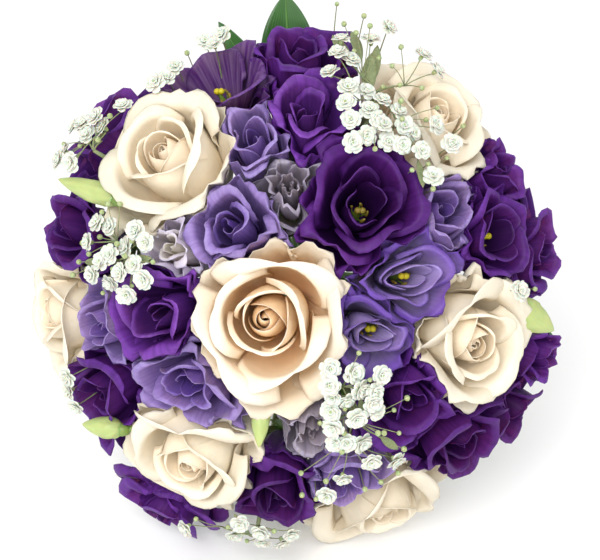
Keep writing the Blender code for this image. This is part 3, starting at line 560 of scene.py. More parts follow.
def petal_surface(head, style, number, rng, character):
    """One petal's middle surface and its colour data, from its root up to its rim."""
    room = ROOMS[head.name]
    guard = number >= style.count
    rows, columns = KINDS[head.kind].grid[guard]
    levels = np.interp(np.linspace(0, 1, rows), (0, ROWS_BELOW_CURL, 1), (0, CURL_FROM, 1))
    places = np.sin(np.linspace(-1, 1, columns) * COLUMN_SPREAD) / math.sin(COLUMN_SPREAD)
    along, across = np.meshgrid(levels, places, indexing="ij")
    if guard:
        wide = GUARD_WIDTH
        spiral = character.spin + GUARD_START + 2 * math.pi * (number - style.count) / GUARDS
        spiral = spiral + rng.uniform(-GUARD_SHIFT, GUARD_SHIFT)
        share = np.ones_like(along)
        bigger = GUARD_SIZE + GUARD_GROWTH * character.hand * across
        higher = -GUARD_DROP + GUARD_TILT * character.hand * across
    else:
        position = (number + 0.5) / style.count
        wide = float(np.interp(position, style.at, style.wide)) * rng.uniform(*WIDTHS)
        spiral = character.spin + character.hand * number * GOLDEN
        share = np.clip(position - character.hand * across * wide / (style.count * GOLDEN), 0, 1.0)
        bigger = rng.uniform(*REACHES)
        higher = rng.uniform(*HEIGHTS) * (0.4 + position)

    def value(table):
        return np.interp(share, style.at, table)

    # the petal is rounded at its shoulders and opens quickly from its root
    sink, late = SHOULDERS[guard]
    edge = 1 - sink * np.abs(across) ** late
    fan = np.sin(np.pi / 2 * np.clip(along / WIDE_FROM, 0, 1)) ** 0.8
    turn = spiral + across * wide * (ROOT_WIDTH + (1 - ROOT_WIDTH) * fan)

    low_r, low_h = value(style.low_r), value(style.low_h)
    belly_r, belly_h = value(style.belly_r), value(style.belly_h)
    rim_r, rim_h = value(style.rim_r) * bigger, value(style.rim_h) + higher
    steps = np.minimum(along, CURL_FROM) * edge / CURL_FROM
    radius = swing(steps, ROOT_REACH * low_r, low_r, belly_r, rim_r)
    height = swing(steps, ROOT_LEVEL * low_h, low_h, belly_h, rim_h)

    # the bloom's heart stays round, and its outer petals fill the room it has in each direction
    crowded = np.clip((radius - ROUND_HEART) / FILLING, 0, 1)
    scale = room.mean * (1 - crowded) + room.at(turn, guard) * crowded
    radius = radius * scale

    # the rim rolls over, at a rose's petals more at their sides than at their points
    out_r, out_h = (rim_r - belly_r) * scale, rim_h - belly_h
    length = np.hypot(out_r, out_h)
    out_r, out_h = out_r / length, out_h / length
    past = np.clip((along - CURL_FROM) / (1 - CURL_FROM), 0, 1)
    uneven = 1 + UNEVEN_CURL * np.sin(UNEVEN_RATE * across + any_phase(rng))
    uneven = uneven - style.point * (1 - np.abs(across)) ** 2
    curl = value(style.curl) * past * uneven
    roll = value(style.roll)
    stretch = np.maximum(0.0, FLAT_RIM - curl) * roll * past
    radius = radius + roll * (np.sin(curl) * out_r + (1 - np.cos(curl)) * out_h) + stretch * out_r
    height = height + roll * (np.sin(curl) * out_h - (1 - np.cos(curl)) * out_r) + stretch * out_h

    # soft folds that grow towards the rim
    fold = value(style.ruffle) * along**FOLD_LATE * (GUARD_FOLD if guard else 1.0)
    phase = any_phase(rng)
    sway = style.waves * np.pi * across
    wave = np.sin(sway + phase) + SECOND_FOLD * np.sin(SECOND_RATE * sway + 2 * phase)
    frill = FRILL * np.sin(FRILL_RATE * sway + 3 * phase) * along**FRILL_LATE
    height = height + fold * (FOLD_UP * wave + frill)
    radius = radius + fold * (FOLD_OUT * np.cos(sway + 1.3 * phase) + frill)
    dent = np.sin(DENT_ACROSS * across + phase) * np.sin(DENT_ALONG * along + 0.5 * phase)
    radius = np.maximum(radius + DENT * dent * along * (1 - 0.5 * along), LEAST_RADIUS)

    inward = (1 - value(style.rim_r)) * room.mean * along
    x = radius * np.cos(turn) + character.heart[0] * inward
    y = radius * np.sin(turn) + character.heart[1] * inward
    if character.pinch:
        cos, sin = math.cos(character.slit), math.sin(character.slit)
        lengthwise, aside = x * cos + y * sin, y * cos - x * sin
        aside = aside * (1 - character.pinch * (1 - share) * along)
        x, y = lengthwise * cos - aside * sin, lengthwise * sin + aside * cos
    points = settle(head, x, y, PLACES[head.name].foot + height)
    return points, petal_data(along * (0.5 + 0.5 * edge), across, share, rng.random())


def bloom(head, material, slot):
    """A bloom in full: its petals from the heart outwards."""
    style = STYLES[STYLE_OF.get(head.name, head.kind)]
    rng = random.Random(head.name)
    character = Character(head)
    skin = Skin()
    for number in range(style.count + GUARDS):
        points, data = petal_surface(head, style, number, rng, character)
        edge = np.minimum(1, THINNEST + THINNING * (1 - data[..., 0]))
        skin.sheet(points, data, PETAL_THICKNESS * edge)
    core = ROOMS[head.name].mean * CORE
    rings = [(core * radius, height) for radius, height in CORE_RINGS]
    skin.turned(rings, axes_of(head), 16, layer=1.0)
    skin.build(head.name + "_petals", material, slot, head.name)


# The heart of an open lisianthus, as turned profiles of radius and height, and its five stamens
OVARY = [(0, 12), (1.6, 14), (2.4, 18), (2.0, 22), (1.0, 25), (0.8, 28), (0, 29)]
STIGMA = [(0, 27.6), (1.2, 28), (1.65, 29), (1.3, 30.2), (0, 30.8)]
STIGMA_LOBE = 1.15
STAMENS = 5
HEART_ASIDE = 1.5  # how far they may stand off the bloom's axis
ANTHER_LEAN = 0.5
FILAMENT_FOOT, FILAMENT_RISE, FILAMENT_LEAN, FILAMENT_RADIUS = 14, 11, 4.2, 0.4
ANTHER_HALF, ANTHER_RADII = 2.0, [0.4, 0.7, 0.8, 0.7, 0.4]


def stamens(head, material, slot):
    """The heart of an open lisianthus: a green ovary, a two-lobed stigma and its stamens.

    In the mesh data, layer 0 is the ovary and the filaments, 0.5 the anthers and 1 the stigma.
    """
    rng = random.Random(head.name + "stamens")
    skin = Skin()
    across, up = rng.uniform(-HEART_ASIDE, HEART_ASIDE), rng.uniform(-HEART_ASIDE, HEART_ASIDE)
    axes = axes_of(head, across=across, up=up)
    middle, right, up, out = axes
    skin.turned(OVARY, axes, 12, layer=0.0)
    tone = 0.5 if head.name == "purple_heart" else 1.0
    for side in (-1, 1):
        skin.turned(STIGMA, (middle + side * STIGMA_LOBE * right, right, up, out), 12, layer=tone)
    for k in range(STAMENS):
        turn = 2 * math.pi * k / STAMENS + rng.uniform(-0.2, 0.2)
        side = math.cos(turn) * right + math.sin(turn) * up
        steps = np.linspace(0, 1, 6)[:, None]
        route = middle + steps * FILAMENT_LEAN * side + (FILAMENT_FOOT + FILAMENT_RISE * steps) * out
        skin.tube(route, FILAMENT_RADIUS, 6, layer=0.0)
        along = unit(out + ANTHER_LEAN * np.cross(out, side))
        anther = np.linspace(-ANTHER_HALF, ANTHER_HALF, 5)[:, None] * along + route[-1]
        skin.tube(anther, ANTHER_RADII, 8, layer=0.5)
    skin.build(head.name + "_stamens", material, slot, head.name)


# Stems
STEM_SIDES = 10
CALYX_CUP = [(0, -8.6), (2.8, -8), (4.0, -5.5), (4.3, -2.5), (3.4, -0.3), (0, 0)]
CALYX_OVERLAP = 3
SEPALS = 6
SEPAL_FOOT = 3.0
SEPAL_DROP = 2.2
SEPAL_RISE = 7.0
SEPAL_REACH = 0.80
SEPAL_BREADTH = 0.9
SEPAL_THICKNESS = 0.5
PLANTS = {}
for each in HEADS:
    PLANTS.setdefault(each.plant, []).append(each)


def sprig_direction(sprig):
    azimuth, polar = math.radians(sprig.azimuth), math.radians(sprig.polar)
    flat = math.sin(polar)
    return np.array([flat * math.cos(azimuth), flat * math.sin(azimuth), math.cos(polar)])


def pack_stems():
    """Where each plant's stem stands in the bundle, as in the frame, how thick that is, and its lowest point.

    The stems are spread as on the dome and then pressed together.
    """
    names = [*PLANTS, *(sprig.name for sprig in SPRIGS)]
    radii = np.array([KINDS[heads[0].kind].stem for heads in PLANTS.values()] + [SPRAY_STEM] * len(SPRIGS))
    outs = [unit(sum(PLACES[head.name].out for head in heads)) for heads in PLANTS.values()]
    outs = np.array(outs + [sprig_direction(sprig) for sprig in SPRIGS])
    flat = outs[:, :2] / np.linalg.norm(outs[:, :2], axis=1, keepdims=True)
    spots = BUNDLE_SPREAD * np.sqrt(1 - outs[:, 2:]) * flat
    need = radii[:, None] + radii[None, :] + STEM_GAP
    for _ in range(PRESSING_ROUNDS):
        apart = spots[:, None] - spots[None, :]
        distance = np.linalg.norm(apart, axis=-1) + np.eye(len(names)) * 1e3
        push = np.maximum(0.0, need - distance) / distance
        spots = spots * PULL_IN + PUSH_APART * (apart * push[..., None]).sum(axis=1)
    lowest = float((TAIL_FLARE * spots[:, 1] - radii).min())
    return dict(zip(names, spots)), float((np.linalg.norm(spots, axis=1) + radii).max()), lowest


SLOTS, BUNDLE_RADIUS, LOWEST = pack_stems()
TAIL_LEVEL = -(HEAD_HEIGHT + LOWEST * math.cos(LEAN)) / math.sin(LEAN)


def fan_route(head, slot, start, count):
    """From behind a head down to its place at the top of the handle, in one even bend."""
    first = PLACES[head.name].out * start
    return bend(first, 0.5 * first, np.array([*slot, FORK_LEVEL]), count)


def handle_route(slot, *tops):
    """Straight through the tie and the ribbon, and a little apart below it."""
    levels = [*((top, 1.0) for top in tops), (RIBBON_LEVELS[0], 1.0), (TAIL_LEVEL, TAIL_FLARE)]
    return np.array([[slot[0] * flare, slot[1] * flare, level] for level, flare in levels])


def calyx(skin, head):
    """The green cup under a bloom and its sepals, which reach out below the petals."""
    room = ROOMS[head.name]
    rng = random.Random(head.name + "calyx")
    skin.turned(CALYX_CUP, axes_of(head, GAP), 14)
    for k in range(SEPALS):
        middle = 2 * math.pi * (k + 0.5) / SEPALS + rng.uniform(-0.1, 0.1)
        along, across = np.meshgrid(np.linspace(0, 1, 9), np.linspace(-1, 1, 5), indexing="ij")
        half = SEPAL_BREADTH * (math.pi / SEPALS) * np.sqrt(np.clip(1.02 - along**3, 0, 1))
        turn = middle + across * half * (0.8 + 0.3 * along)
        reach = SEPAL_REACH * rng.uniform(0.9, 1.05) * room.at(turn, True)
        radius = SEPAL_FOOT + along * (reach - SEPAL_FOOT)
        height = PLACES[head.name].foot - GAP - SEPAL_DROP + SEPAL_RISE * along**1.5 + 0.8 * across**2 * along
        points = settle(head, radius * np.cos(turn), radius * np.sin(turn), height)
        skin.sheet(points, petal_data(along, across, 0.0, rng.random()), SEPAL_THICKNESS)


def stem(plant, material):
    """One plant's stem, with its branches and the calyx under each bloom."""
    slot = SLOTS[plant]
    heads = PLANTS[plant]
    main = KINDS[heads[0].kind].stem
    skin = Skin()
    if len(heads) > 1:
        skin.tube(handle_route(slot, FORK_LEVEL + 2), [0.94 * main, main, main], STEM_SIDES, chance=0.6)
    for head in heads:
        bare = head.kind == "bud"
        start = PLACES[head.name].foot - (0 if bare else GAP + CALYX_OVERLAP)
        if len(heads) == 1:
            route = np.vstack([fan_route(head, slot, start, 18), handle_route(slot)])
            skin.tube(route, main, STEM_SIDES, chance=0.3)
        else:
            skin.tube(fan_route(head, slot, start, 16), np.linspace(1.6, BRANCH, 16), 8, chance=0.4)
        if not bare:
            calyx(skin, head)
    skin.build("stem_" + plant + "_finish", material, "stem", "stem_" + plant)


# Where each bud lies in the photograph, from its foot to its tip in pixels, how far from the bouquet's centre
# both are, and its half thickness
Lying = namedtuple("Lying", "foot tip foot_reach tip_reach plump")
LYING = {
    "bud_left": Lying((121, 201), (58, 179), 147, 157, 5.6),
    "bud_lower_left": Lying((124, 430), (82, 424), 146, 156, 5.6),
    "bud_right": Lying((509, 303), (554, 331), 139, 154, 8.2),
    "bud_lower": Lying((262, 400), (259, 448), 138, 151, 4.4),
}
BUD_CUP = [(0, -3.0), (2.0, -2.6), (3.2, 0.0), (3.4, 4.0), (0, 4.4)]
BUD_PETALS = 5
BUD_TWIST = 3.4
BUD_NECK = 1.3


def across_axes(out):
    right = unit(np.cross(out, (0.3, 0.9, 0.31)))
    return right, np.cross(out, right), out


def bud(head, material):
    """A closed lisianthus bud: a pointed spindle of petals wound round each other."""
    place = PLACES[head.name]
    lying = LYING[head.name]
    foot = above_table(seen(*lying.foot, lying.foot_reach), lying.plump)
    tip = above_table(seen(*lying.tip, lying.tip_reach), 1.5)
    length = np.linalg.norm(tip - foot)
    out = (tip - foot) / length
    axes = (foot, *across_axes(out))
    shares = np.linspace(0, 1, 26)
    thick = [lying.plump * math.sin(math.pi * share**0.72) ** 0.75 + 0.05 for share in shares]
    rings = [(0, 0), *zip(thick[1:-1], length * shares[1:-1]), (0, length)]

    def wound(turn, share):
        """Each wound petal's edge stands a little proud of the next one."""
        phase = np.mod((turn + BUD_TWIST * share) * BUD_PETALS / (2 * np.pi), 1.0)
        return 0.93 + 0.14 * phase**1.5 * (1 - share)

    skin = Skin()
    chance = random.Random(head.name).random()
    skin.turned(rings, axes, 40, layer=1.0, chance=chance, ridges=wound)
    skin.turned(BUD_CUP, axes, 12, layer=0.0)
    neck = bend(place.out * place.foot, foot - 14 * place.out - 6 * out, foot - 2 * out, 10)
    skin.tube(neck, BUD_NECK, 8, layer=0.0)
    skin.build(head.name + "_petals", material, "stem", "stem_" + head.plant)


# Gypsophila
# Where the florets and the buds of each spray show in the photograph, and the bracts from foot to tip
# with their half widths in millimetres, their places in pixels
FLORETS_SEEN = {
    "gypsophila_upper_right": [
        (330, 73), (348, 88), (338, 54), (352, 61), (371, 41), (388, 28), (351, 120), (366, 136),
        (369, 110), (382, 101), (389, 142), (398, 113), (413, 133), (421, 150), (435, 126), (452, 144),
        (422, 56), (436, 71), (433, 177), (352, 142), (383, 125), (346, 103), (404, 126), (341, 40),
        (366, 92), (377, 120), (402, 145),
    ],
    "gypsophila_left": [
        (98, 223), (111, 227), (89, 242), (136, 230), (146, 242), (127, 247), (110, 255), (93, 275),
        (111, 282), (134, 265), (144, 279), (127, 294), (101, 262), (121, 273), (68, 377), (70, 390),
        (76, 406),
    ],
    "gypsophila_lower_right": [
        (330, 368), (354, 373), (381, 375), (329, 385), (360, 389), (375, 393), (333, 396), (346, 400),
        (373, 402), (331, 411), (357, 418), (375, 410), (333, 427), (336, 442), (347, 442), (361, 442),
        (371, 460), (395, 460), (343, 477), (327, 495), (519, 291),
    ],
    "gypsophila_far_left": [
        (75, 127), (88, 135), (84, 124), (104, 128), (60, 160), (72, 162), (96, 118), (123, 107), (66, 152),
        (156, 83), (167, 79), (176, 67), (205, 42), (222, 36), (214, 45),
    ],
    "gypsophila_bottom": [(187, 527), (240, 523), (235, 534), (263, 541), (282, 541), (291, 533), (261, 531)],
}
BUDS_SEEN = {
    "gypsophila_upper_right": [
        (337, 4), (364, 16), (370, 26), (401, 47), (422, 88), (400, 85), (401, 101), (463, 126), (426, 120),
        (402, 119), (375, 149), (412, 170), (433, 189), (447, 158), (383, 87), (354, 51), (344, 24),
        (356, 33), (379, 58), (392, 66), (437, 108), (428, 164),
    ],
    "gypsophila_left": [
        (83, 243), (89, 254), (87, 269), (73, 275), (103, 293), (113, 269), (125, 256), (117, 244),
        (132, 241), (102, 212), (108, 204), (120, 204), (100, 237), (132, 286), (79, 262), (153, 262),
    ],
    "gypsophila_lower_right": [
        (359, 353), (407, 398), (394, 410), (399, 433), (384, 433), (378, 433), (404, 449), (398, 473),
        (381, 482), (365, 489), (320, 423), (345, 409), (370, 409), (370, 380), (338, 387), (344, 433),
        (342, 452), (326, 481), (301, 473), (302, 495), (316, 499), (535, 289),
    ],
    "gypsophila_far_left": [(64, 144), (98, 140), (187, 53), (110, 116), (80, 146)],
    "gypsophila_bottom": [(196, 519), (247, 541), (274, 531), (228, 527)],
}
BRACTS_SEEN = {
    "gypsophila_upper_right": [
        ((366, 100), (372, 52), 3.4), ((352, 66), (333, 34), 3.0), ((372, 84), (378, 44), 2.6),
        ((362, 60), (352, 30), 2.4), ((392, 128), (414, 118), 2.0), ((418, 160), (424, 186), 1.8),
    ],
    "gypsophila_left": [((122, 262), (150, 258), 2.2), ((104, 262), (84, 262), 1.8)],
    "gypsophila_lower_right": [
        ((360, 398), (366, 424), 2.2), ((380, 436), (398, 450), 2.0), ((336, 400), (330, 442), 2.0),
    ],
    "gypsophila_far_left": [((92, 146), (104, 132), 2.2), ((84, 150), (74, 158), 2.0)],
    "gypsophila_bottom": [((250, 536), (234, 516), 2.0)],
}
# How far from the bouquet's centre they stand, and their sizes
FLORET_REACH, FLORET_SIZE = (153.5, 160.5), (4.6, 5.5)
BUD_REACH, BUD_SIZE = (154.0, 163.0), (1.15, 1.5)
BRACT_REACH = (150.0, 155.0)
FLORETS_TO_A_FORK = 3
FAR = 42.0  # a floret farther from the hub than this comes up between the blooms
UNDER_BLOOMS = 94.0  # the reach at which its twig runs under the blooms
BEHIND = 28.0  # how far behind such a floret its twig comes up, as the camera sees it
CLEAR, CLEAR_FAR_LEFT = 112.0, 130.0  # the distance from the axis from which it comes up closer
FADE, CLOSER = 10.0, 0.2  # how soon past that, and to what share
FLORET_TWIG_RADIUS, BUD_TWIG_RADIUS, BRACT_TWIG_RADIUS, FORK_RADIUS = 0.32, 0.27, 0.4, 0.5
FLORET_ABOVE, BUD_ABOVE, TWIG_ABOVE, FORK_ABOVE = 5.5, 2.5, 2.0, 1.5  # how far above the table each stays
TWIG_STEPS = 14
HUB_NECK = 12  # the length of stem that points straight out under a hub
HUB_RADII = [0.9, 1.2]
# The petals, the reach and the rise of each ring of a floret, and the outline of a petal from its foot
FLORET_RINGS = [(6, 1.0, 0.1), (6, 0.90, 0.5), (5, 0.72, 0.88), (3, 0.5, 1.25)]
FLORET_OUTLINE = [(0.05, 0.25), (0.5, 0.95), (0.86, 0.88), (1.0, 0.45)]
FLORET_EYE = [(0, -0.4), (0.6, 0.2), (0.8, 1.9), (0, 2.6)]
FLORET_CUP = [(0, -2.6), (0.8, -2.2), (1.3, -1.0), (1.0, 0.0), (0, 0.3)]
FLORET_THICKNESS = 0.22
# The half width of a floret's petal, and how far it curls, droops, bows and cups, as shares of the size
# of the floret
PETAL_WIDTH, PETAL_CURL, PETAL_DROOP, PETAL_BOW, PETAL_CUP = 0.44, 0.08, 0.10, 0.10, 0.09
FLORET_SCATTER = 0.35
TINY_BUD = [(0, -1.0), (0.7, -0.7), (1.0, 0.0), (0.75, 0.7), (0, 1.05)]
FLORET_PETAL, FLORET_BUD, FLORET_TWIG = 0.0, 0.5, 1.0  # the layers of a spray's mesh data
# A leaf's thickness, and its least half width; its keel and its waves, as shares of its half width
LEAF_THICKNESS, LEAF_TIP, LEAF_KEEL, LEAF_WAVE = 0.5, 0.12, 0.18, 0.04


def floret(skin, centre, out, size, rng):
    """A double floret: rings of rounded petals round a pale green eye, on a small green cup."""
    right, up, out = across_axes(out)
    shares, widths = zip(*FLORET_OUTLINE)
    share, across = np.meshgrid(shares, (-1, 0, 1), indexing="ij")
    width = np.array(widths)[:, None]
    for count, reach, rise in FLORET_RINGS:
        first = any_phase(rng)
        for k in range(count):
            turn = first + 2 * math.pi * k / count + rng.uniform(-0.15, 0.15)
            side = math.cos(turn) * right + math.sin(turn) * up
            length = size * reach * rng.uniform(0.9, 1.06)
            tilt = rise + rng.uniform(-0.15, 0.2)
            tip = length * (math.cos(tilt) * side + math.sin(tilt) * out)
            away = math.cos(tilt) * out - math.sin(tilt) * side
            half = PETAL_WIDTH * size * (0.35 + 0.65 * reach) * rng.uniform(0.85, 1.15)
            curl = PETAL_CURL * size * rng.uniform(-1, 1)
            droop = PETAL_DROOP * size * rng.uniform(-0.4, 1)
            bow = PETAL_BOW * size * np.sin(math.pi * share) - droop * share**2
            lifted = (bow + PETAL_CUP * size * share) * across * across + curl * across * share
            points = centre + share[..., None] * tip + lifted[..., None] * away
            points = points + (across * width * half)[..., None] * np.cross(out, side)
            skin.sheet(points, petal_data(share, across, FLORET_PETAL, rng.random()), FLORET_THICKNESS)
    for rings in (FLORET_EYE, FLORET_CUP):
        skin.turned(rings, (centre, right, up, out), 6, layer=FLORET_BUD, chance=rng.random())


def tiny_bud(skin, centre, out, size, rng):
    rings = [(size * radius, size * height) for radius, height in TINY_BUD]
    skin.turned(rings, (centre, *across_axes(out)), 8, layer=FLORET_BUD, chance=rng.random())


def twig(skin, start, end, radius, sag, rng):
    steps = np.linspace(0, 1, 5)[:, None]
    aside = rng.uniform(-0.8, 0.8) * unit(np.cross(end - start, start))
    bow = np.sin(np.pi * steps) * (sag * unit(start) + aside)
    skin.tube(start + steps * (end - start) + bow, np.linspace(radius, 0.7 * radius, 5), 5, FLORET_TWIG)


def blade(skin, root, tip, normal, half_width, droop, grid, layer, rng):
    """A leaf: pointed at both ends, widest past its middle, and keeled along its rib."""
    rows, columns = grid
    length = np.linalg.norm(tip - root)
    along_axis = (tip - root) / length
    side = unit(np.cross(along_axis, normal))
    normal = np.cross(side, along_axis)
    along, across = np.meshgrid(np.linspace(0, 1, rows) ** 0.95, np.linspace(-1, 1, columns), indexing="ij")
    width = half_width * np.maximum(np.sin(np.pi * along**1.1), 0) ** 0.75 + LEAF_TIP
    keel = LEAF_KEEL * width * (np.sqrt(across**2 + 0.01) - 0.1) - droop * along**2
    wavy = LEAF_WAVE * half_width * np.sin(5 * along + rng.uniform(0, 6)) * across
    points = root + (along * length)[..., None] * along_axis + (across * width)[..., None] * side
    points = points + (keel + wavy * np.sin(np.pi * along))[..., None] * normal
    skin.sheet(points, petal_data(along, across, layer, rng.random()), LEAF_THICKNESS)


def spray(head, material):
    """A spray of gypsophila: its stem forks from a hub into twigs that end in florets and buds."""
    place = PLACES[head.name]
    rng = random.Random(head.name)
    slot = SLOTS[head.plant]
    hub = place.out * (CAP_RADIUS + HUB_LIFT)
    deep = place.out * SPRAY_BEND
    skin = Skin()
    fan = fan_route(head, slot, SPRAY_BEND, 14)
    route = np.vstack([hub, hub - HUB_NECK * place.out, fan, handle_route(slot)])
    skin.tube(route, HUB_RADII + [SPRAY_STEM] * (len(route) - 2), 8, FLORET_TWIG)

    tops = [seen(*pixel, rng.uniform(*FLORET_REACH)) for pixel in FLORETS_SEEN[head.name]]
    tops = [above_table(top, FLORET_ABOVE) for top in tops]
    near = [top for top in tops if np.linalg.norm(top - hub) < FAR]
    forks = [hub + 0.5 * (top - hub) - rng.uniform(1, 4) * place.out for top in near[::FLORETS_TO_A_FORK]]
    forks = [above_table(fork, FORK_ABOVE) for fork in forks]
    for fork in forks:
        twig(skin, hub, fork, FORK_RADIUS, 1.0, rng)
    clear = CLEAR_FAR_LEFT if head.name == "gypsophila_far_left" else CLEAR

    def carried(top, radius):
        """A twig that carries this point: from the nearest fork, or for a far one from behind the blooms."""
        if np.linalg.norm(top - hub) < FAR:
            fork = min(forks, key=lambda spot: np.linalg.norm(spot - top))
            twig(skin, fork, top, radius, 0.8, rng)
            return fork
        drop = BEHIND * np.interp(math.hypot(top[0], top[1]), (clear, clear + FADE), (1.0, CLOSER))
        behind = above_table(top - drop * unit(EYE - top), TWIG_ABOVE)
        route = swing(np.linspace(0, 1, TWIG_STEPS)[:, None], deep, UNDER_BLOOMS * unit(top), behind, top)
        skin.tube(route, np.linspace(2 * radius, 0.8 * radius, TWIG_STEPS), 5, FLORET_TWIG)
        return behind

    for top in tops:
        fork = carried(top - 1.5 * unit(top), FLORET_TWIG_RADIUS)
        scatter = np.array([rng.uniform(-FLORET_SCATTER, FLORET_SCATTER) for _ in range(3)])
        out = unit(unit(top) + 0.35 * unit(top - fork) + scatter)
        floret(skin, top, out, rng.uniform(*FLORET_SIZE), rng)
    for pixel in BUDS_SEEN[head.name]:
        top = above_table(seen(*pixel, rng.uniform(*BUD_REACH)), BUD_ABOVE)
        carried(top, BUD_TWIG_RADIUS)
        tiny_bud(skin, top, unit(top), rng.uniform(*BUD_SIZE), rng)
    for foot, tip, half_width in BRACTS_SEEN[head.name]:
        low = above_table(seen(*foot, BRACT_REACH[0]), TWIG_ABOVE)
        high = above_table(seen(*tip, BRACT_REACH[1]), TWIG_ABOVE)
        carried(low, BRACT_TWIG_RADIUS)
        blade(skin, low, high, unit(low), half_width, 1.0, (9, 5), FLORET_TWIG, rng)
    skin.build(head.name + "_florets", material, "gypsophila", head.name)


# The leaves of each sprig of ruscus: how far below its tip they stand, their length and half width in
# millimetres, and how far they turn aside and forwards, in degrees
Leaf = namedtuple("Leaf", "below length half_width aside forward")
RUSCUS_LEAVES = {
    "ruscus_top": [Leaf(2, 63.5, 14.0, 0, 0), Leaf(9, 68.0, 7.0, 31, 0), Leaf(15, 46.0, 10.0, -36, 0)],
    "ruscus_right": [Leaf(2, 64.0, 12.0, -5, 9), Leaf(9, 50.0, 8.0, 31, 0), Leaf(15, 46.0, 10.0, -36, 0)],
}
RUSCUS_NECK = 20
RUSCUS_BEND = 15.0
RUSCUS_DROOP = 5.0


def ruscus(sprig, material):
    """A leafy sprig behind the rim."""
    rng = random.Random(sprig.name)
    slot = SLOTS[sprig.name]
    outward = sprig_direction(sprig)
    sideways = unit(np.cross((0.0, 0.0, 1.0), outward))
    neck = outward * (sprig.reach - RUSCUS_NECK)
    fan = bend(neck, 0.45 * neck - np.array([0, 0, RUSCUS_BEND]), np.array([*slot, FORK_LEVEL]), 14)
    route = np.vstack([outward * sprig.reach, fan, handle_route(slot)])
    skin = Skin()
    skin.tube(route, [1.0, 1.4] + [SPRAY_STEM] * (len(route) - 2), 8, layer=1.0)
    normal = unit(np.cross(outward, sideways))
    for leaf in RUSCUS_LEAVES[sprig.name]:
        aside, forward = math.radians(leaf.aside), math.radians(leaf.forward)
        level = math.cos(aside) * outward + math.sin(aside) * sideways
        direction = math.cos(forward) * level - math.sin(forward) * normal
        root = outward * (sprig.reach - leaf.below)
        tip = root + direction * leaf.length
        blade(skin, root, tip, normal, leaf.half_width, RUSCUS_DROOP, (30, 13), 0.0, rng)
    skin.build(sprig.name + "_leaves", material, "leaf", sprig.name)


# The ribbon and the tie
RIBBON_WIDTH = 26.0
RIBBON_PITCH = 14.0
RIBBON_SHEET = 0.35
RIBBON_LAP = 0.95
RIBBON_START = 0.35
TWINE_TURNS = 3
TWINE_AWAY = 1.3
TWINE_CLIMB = 4.0
TWINE_STRAND = 0.62
TWINE_OFFSET = 0.55
TWINE_LAY = 5.5  # the length in which the strands of the twine go once round each other


def ribbon(material):
    """A satin ribbon wound down the handle, each turn lapping over the last."""
    low, high = RIBBON_LEVELS
    travel = high - low - RIBBON_WIDTH
    turns = 1 + travel / RIBBON_PITCH + 1
    turn, across = np.meshgrid(np.linspace(0, turns, int(56 * turns)), np.linspace(-1, 1, 9), indexing="ij")
    centre = high - RIBBON_WIDTH / 2 - np.clip((turn - 1) * RIBBON_PITCH, 0, travel)
    level = centre + across * RIBBON_WIDTH / 2
    wrinkle = 0.10 * np.sin(9 * turn + 3 * across) * np.sin(23 * turn)
    wrinkle = wrinkle + 0.12 * np.sin(5.3 * turn * 2 * np.pi + across)
    lap = RIBBON_LAP * (across + 1) / 2 + RIBBON_START * np.clip(turn, 0, 1)
    radius = BUNDLE_RADIUS + GAP + RIBBON_SHEET + lap + wrinkle * 0.5
    angle = 2 * np.pi * turn + 0.7
    points = np.stack([radius * np.cos(angle), radius * np.sin(angle), level], axis=-1)
    skin = Skin()
    skin.sheet(points, petal_data(turn / turns, across, 0.0, 0.0), RIBBON_SHEET)
    skin.build("ribbon_wrap", material, "ribbon", "ribbon")


def tie(material):
    """A few turns of two-ply twine round the stems."""
    radius = BUNDLE_RADIUS + GAP + TWINE_AWAY
    length = 2 * math.pi * radius * TWINE_TURNS
    steps = np.linspace(0, 1, 150 * TWINE_TURNS)
    turn = 2 * np.pi * TWINE_TURNS * steps
    level = TIE_LEVEL + TWINE_CLIMB / 2 - TWINE_CLIMB * steps
    skin = Skin()
    for strand in (0, 1):
        lay = 2 * np.pi * length * steps / TWINE_LAY + math.pi * strand
        away = radius + TWINE_OFFSET * np.cos(lay)
        height = level + TWINE_OFFSET * np.sin(lay)
        route = np.stack([away * np.cos(turn), away * np.sin(turn), height], axis=-1)
        skin.tube(route, TWINE_STRAND, 7, chance=strand * 0.6)
    skin.build("tie_twine", material, "twine", "tie")


# Materials
def srgb(code):
    """A colour written as six hex digits, as linear RGBA."""
    values = [int(code[k : k + 2], 16) / 255 for k in (0, 2, 4)]
    linear = [value / 12.92 if value <= 0.04045 else ((value + 0.055) / 1.055) ** 2.4 for value in values]
    return (*linear, 1.0)


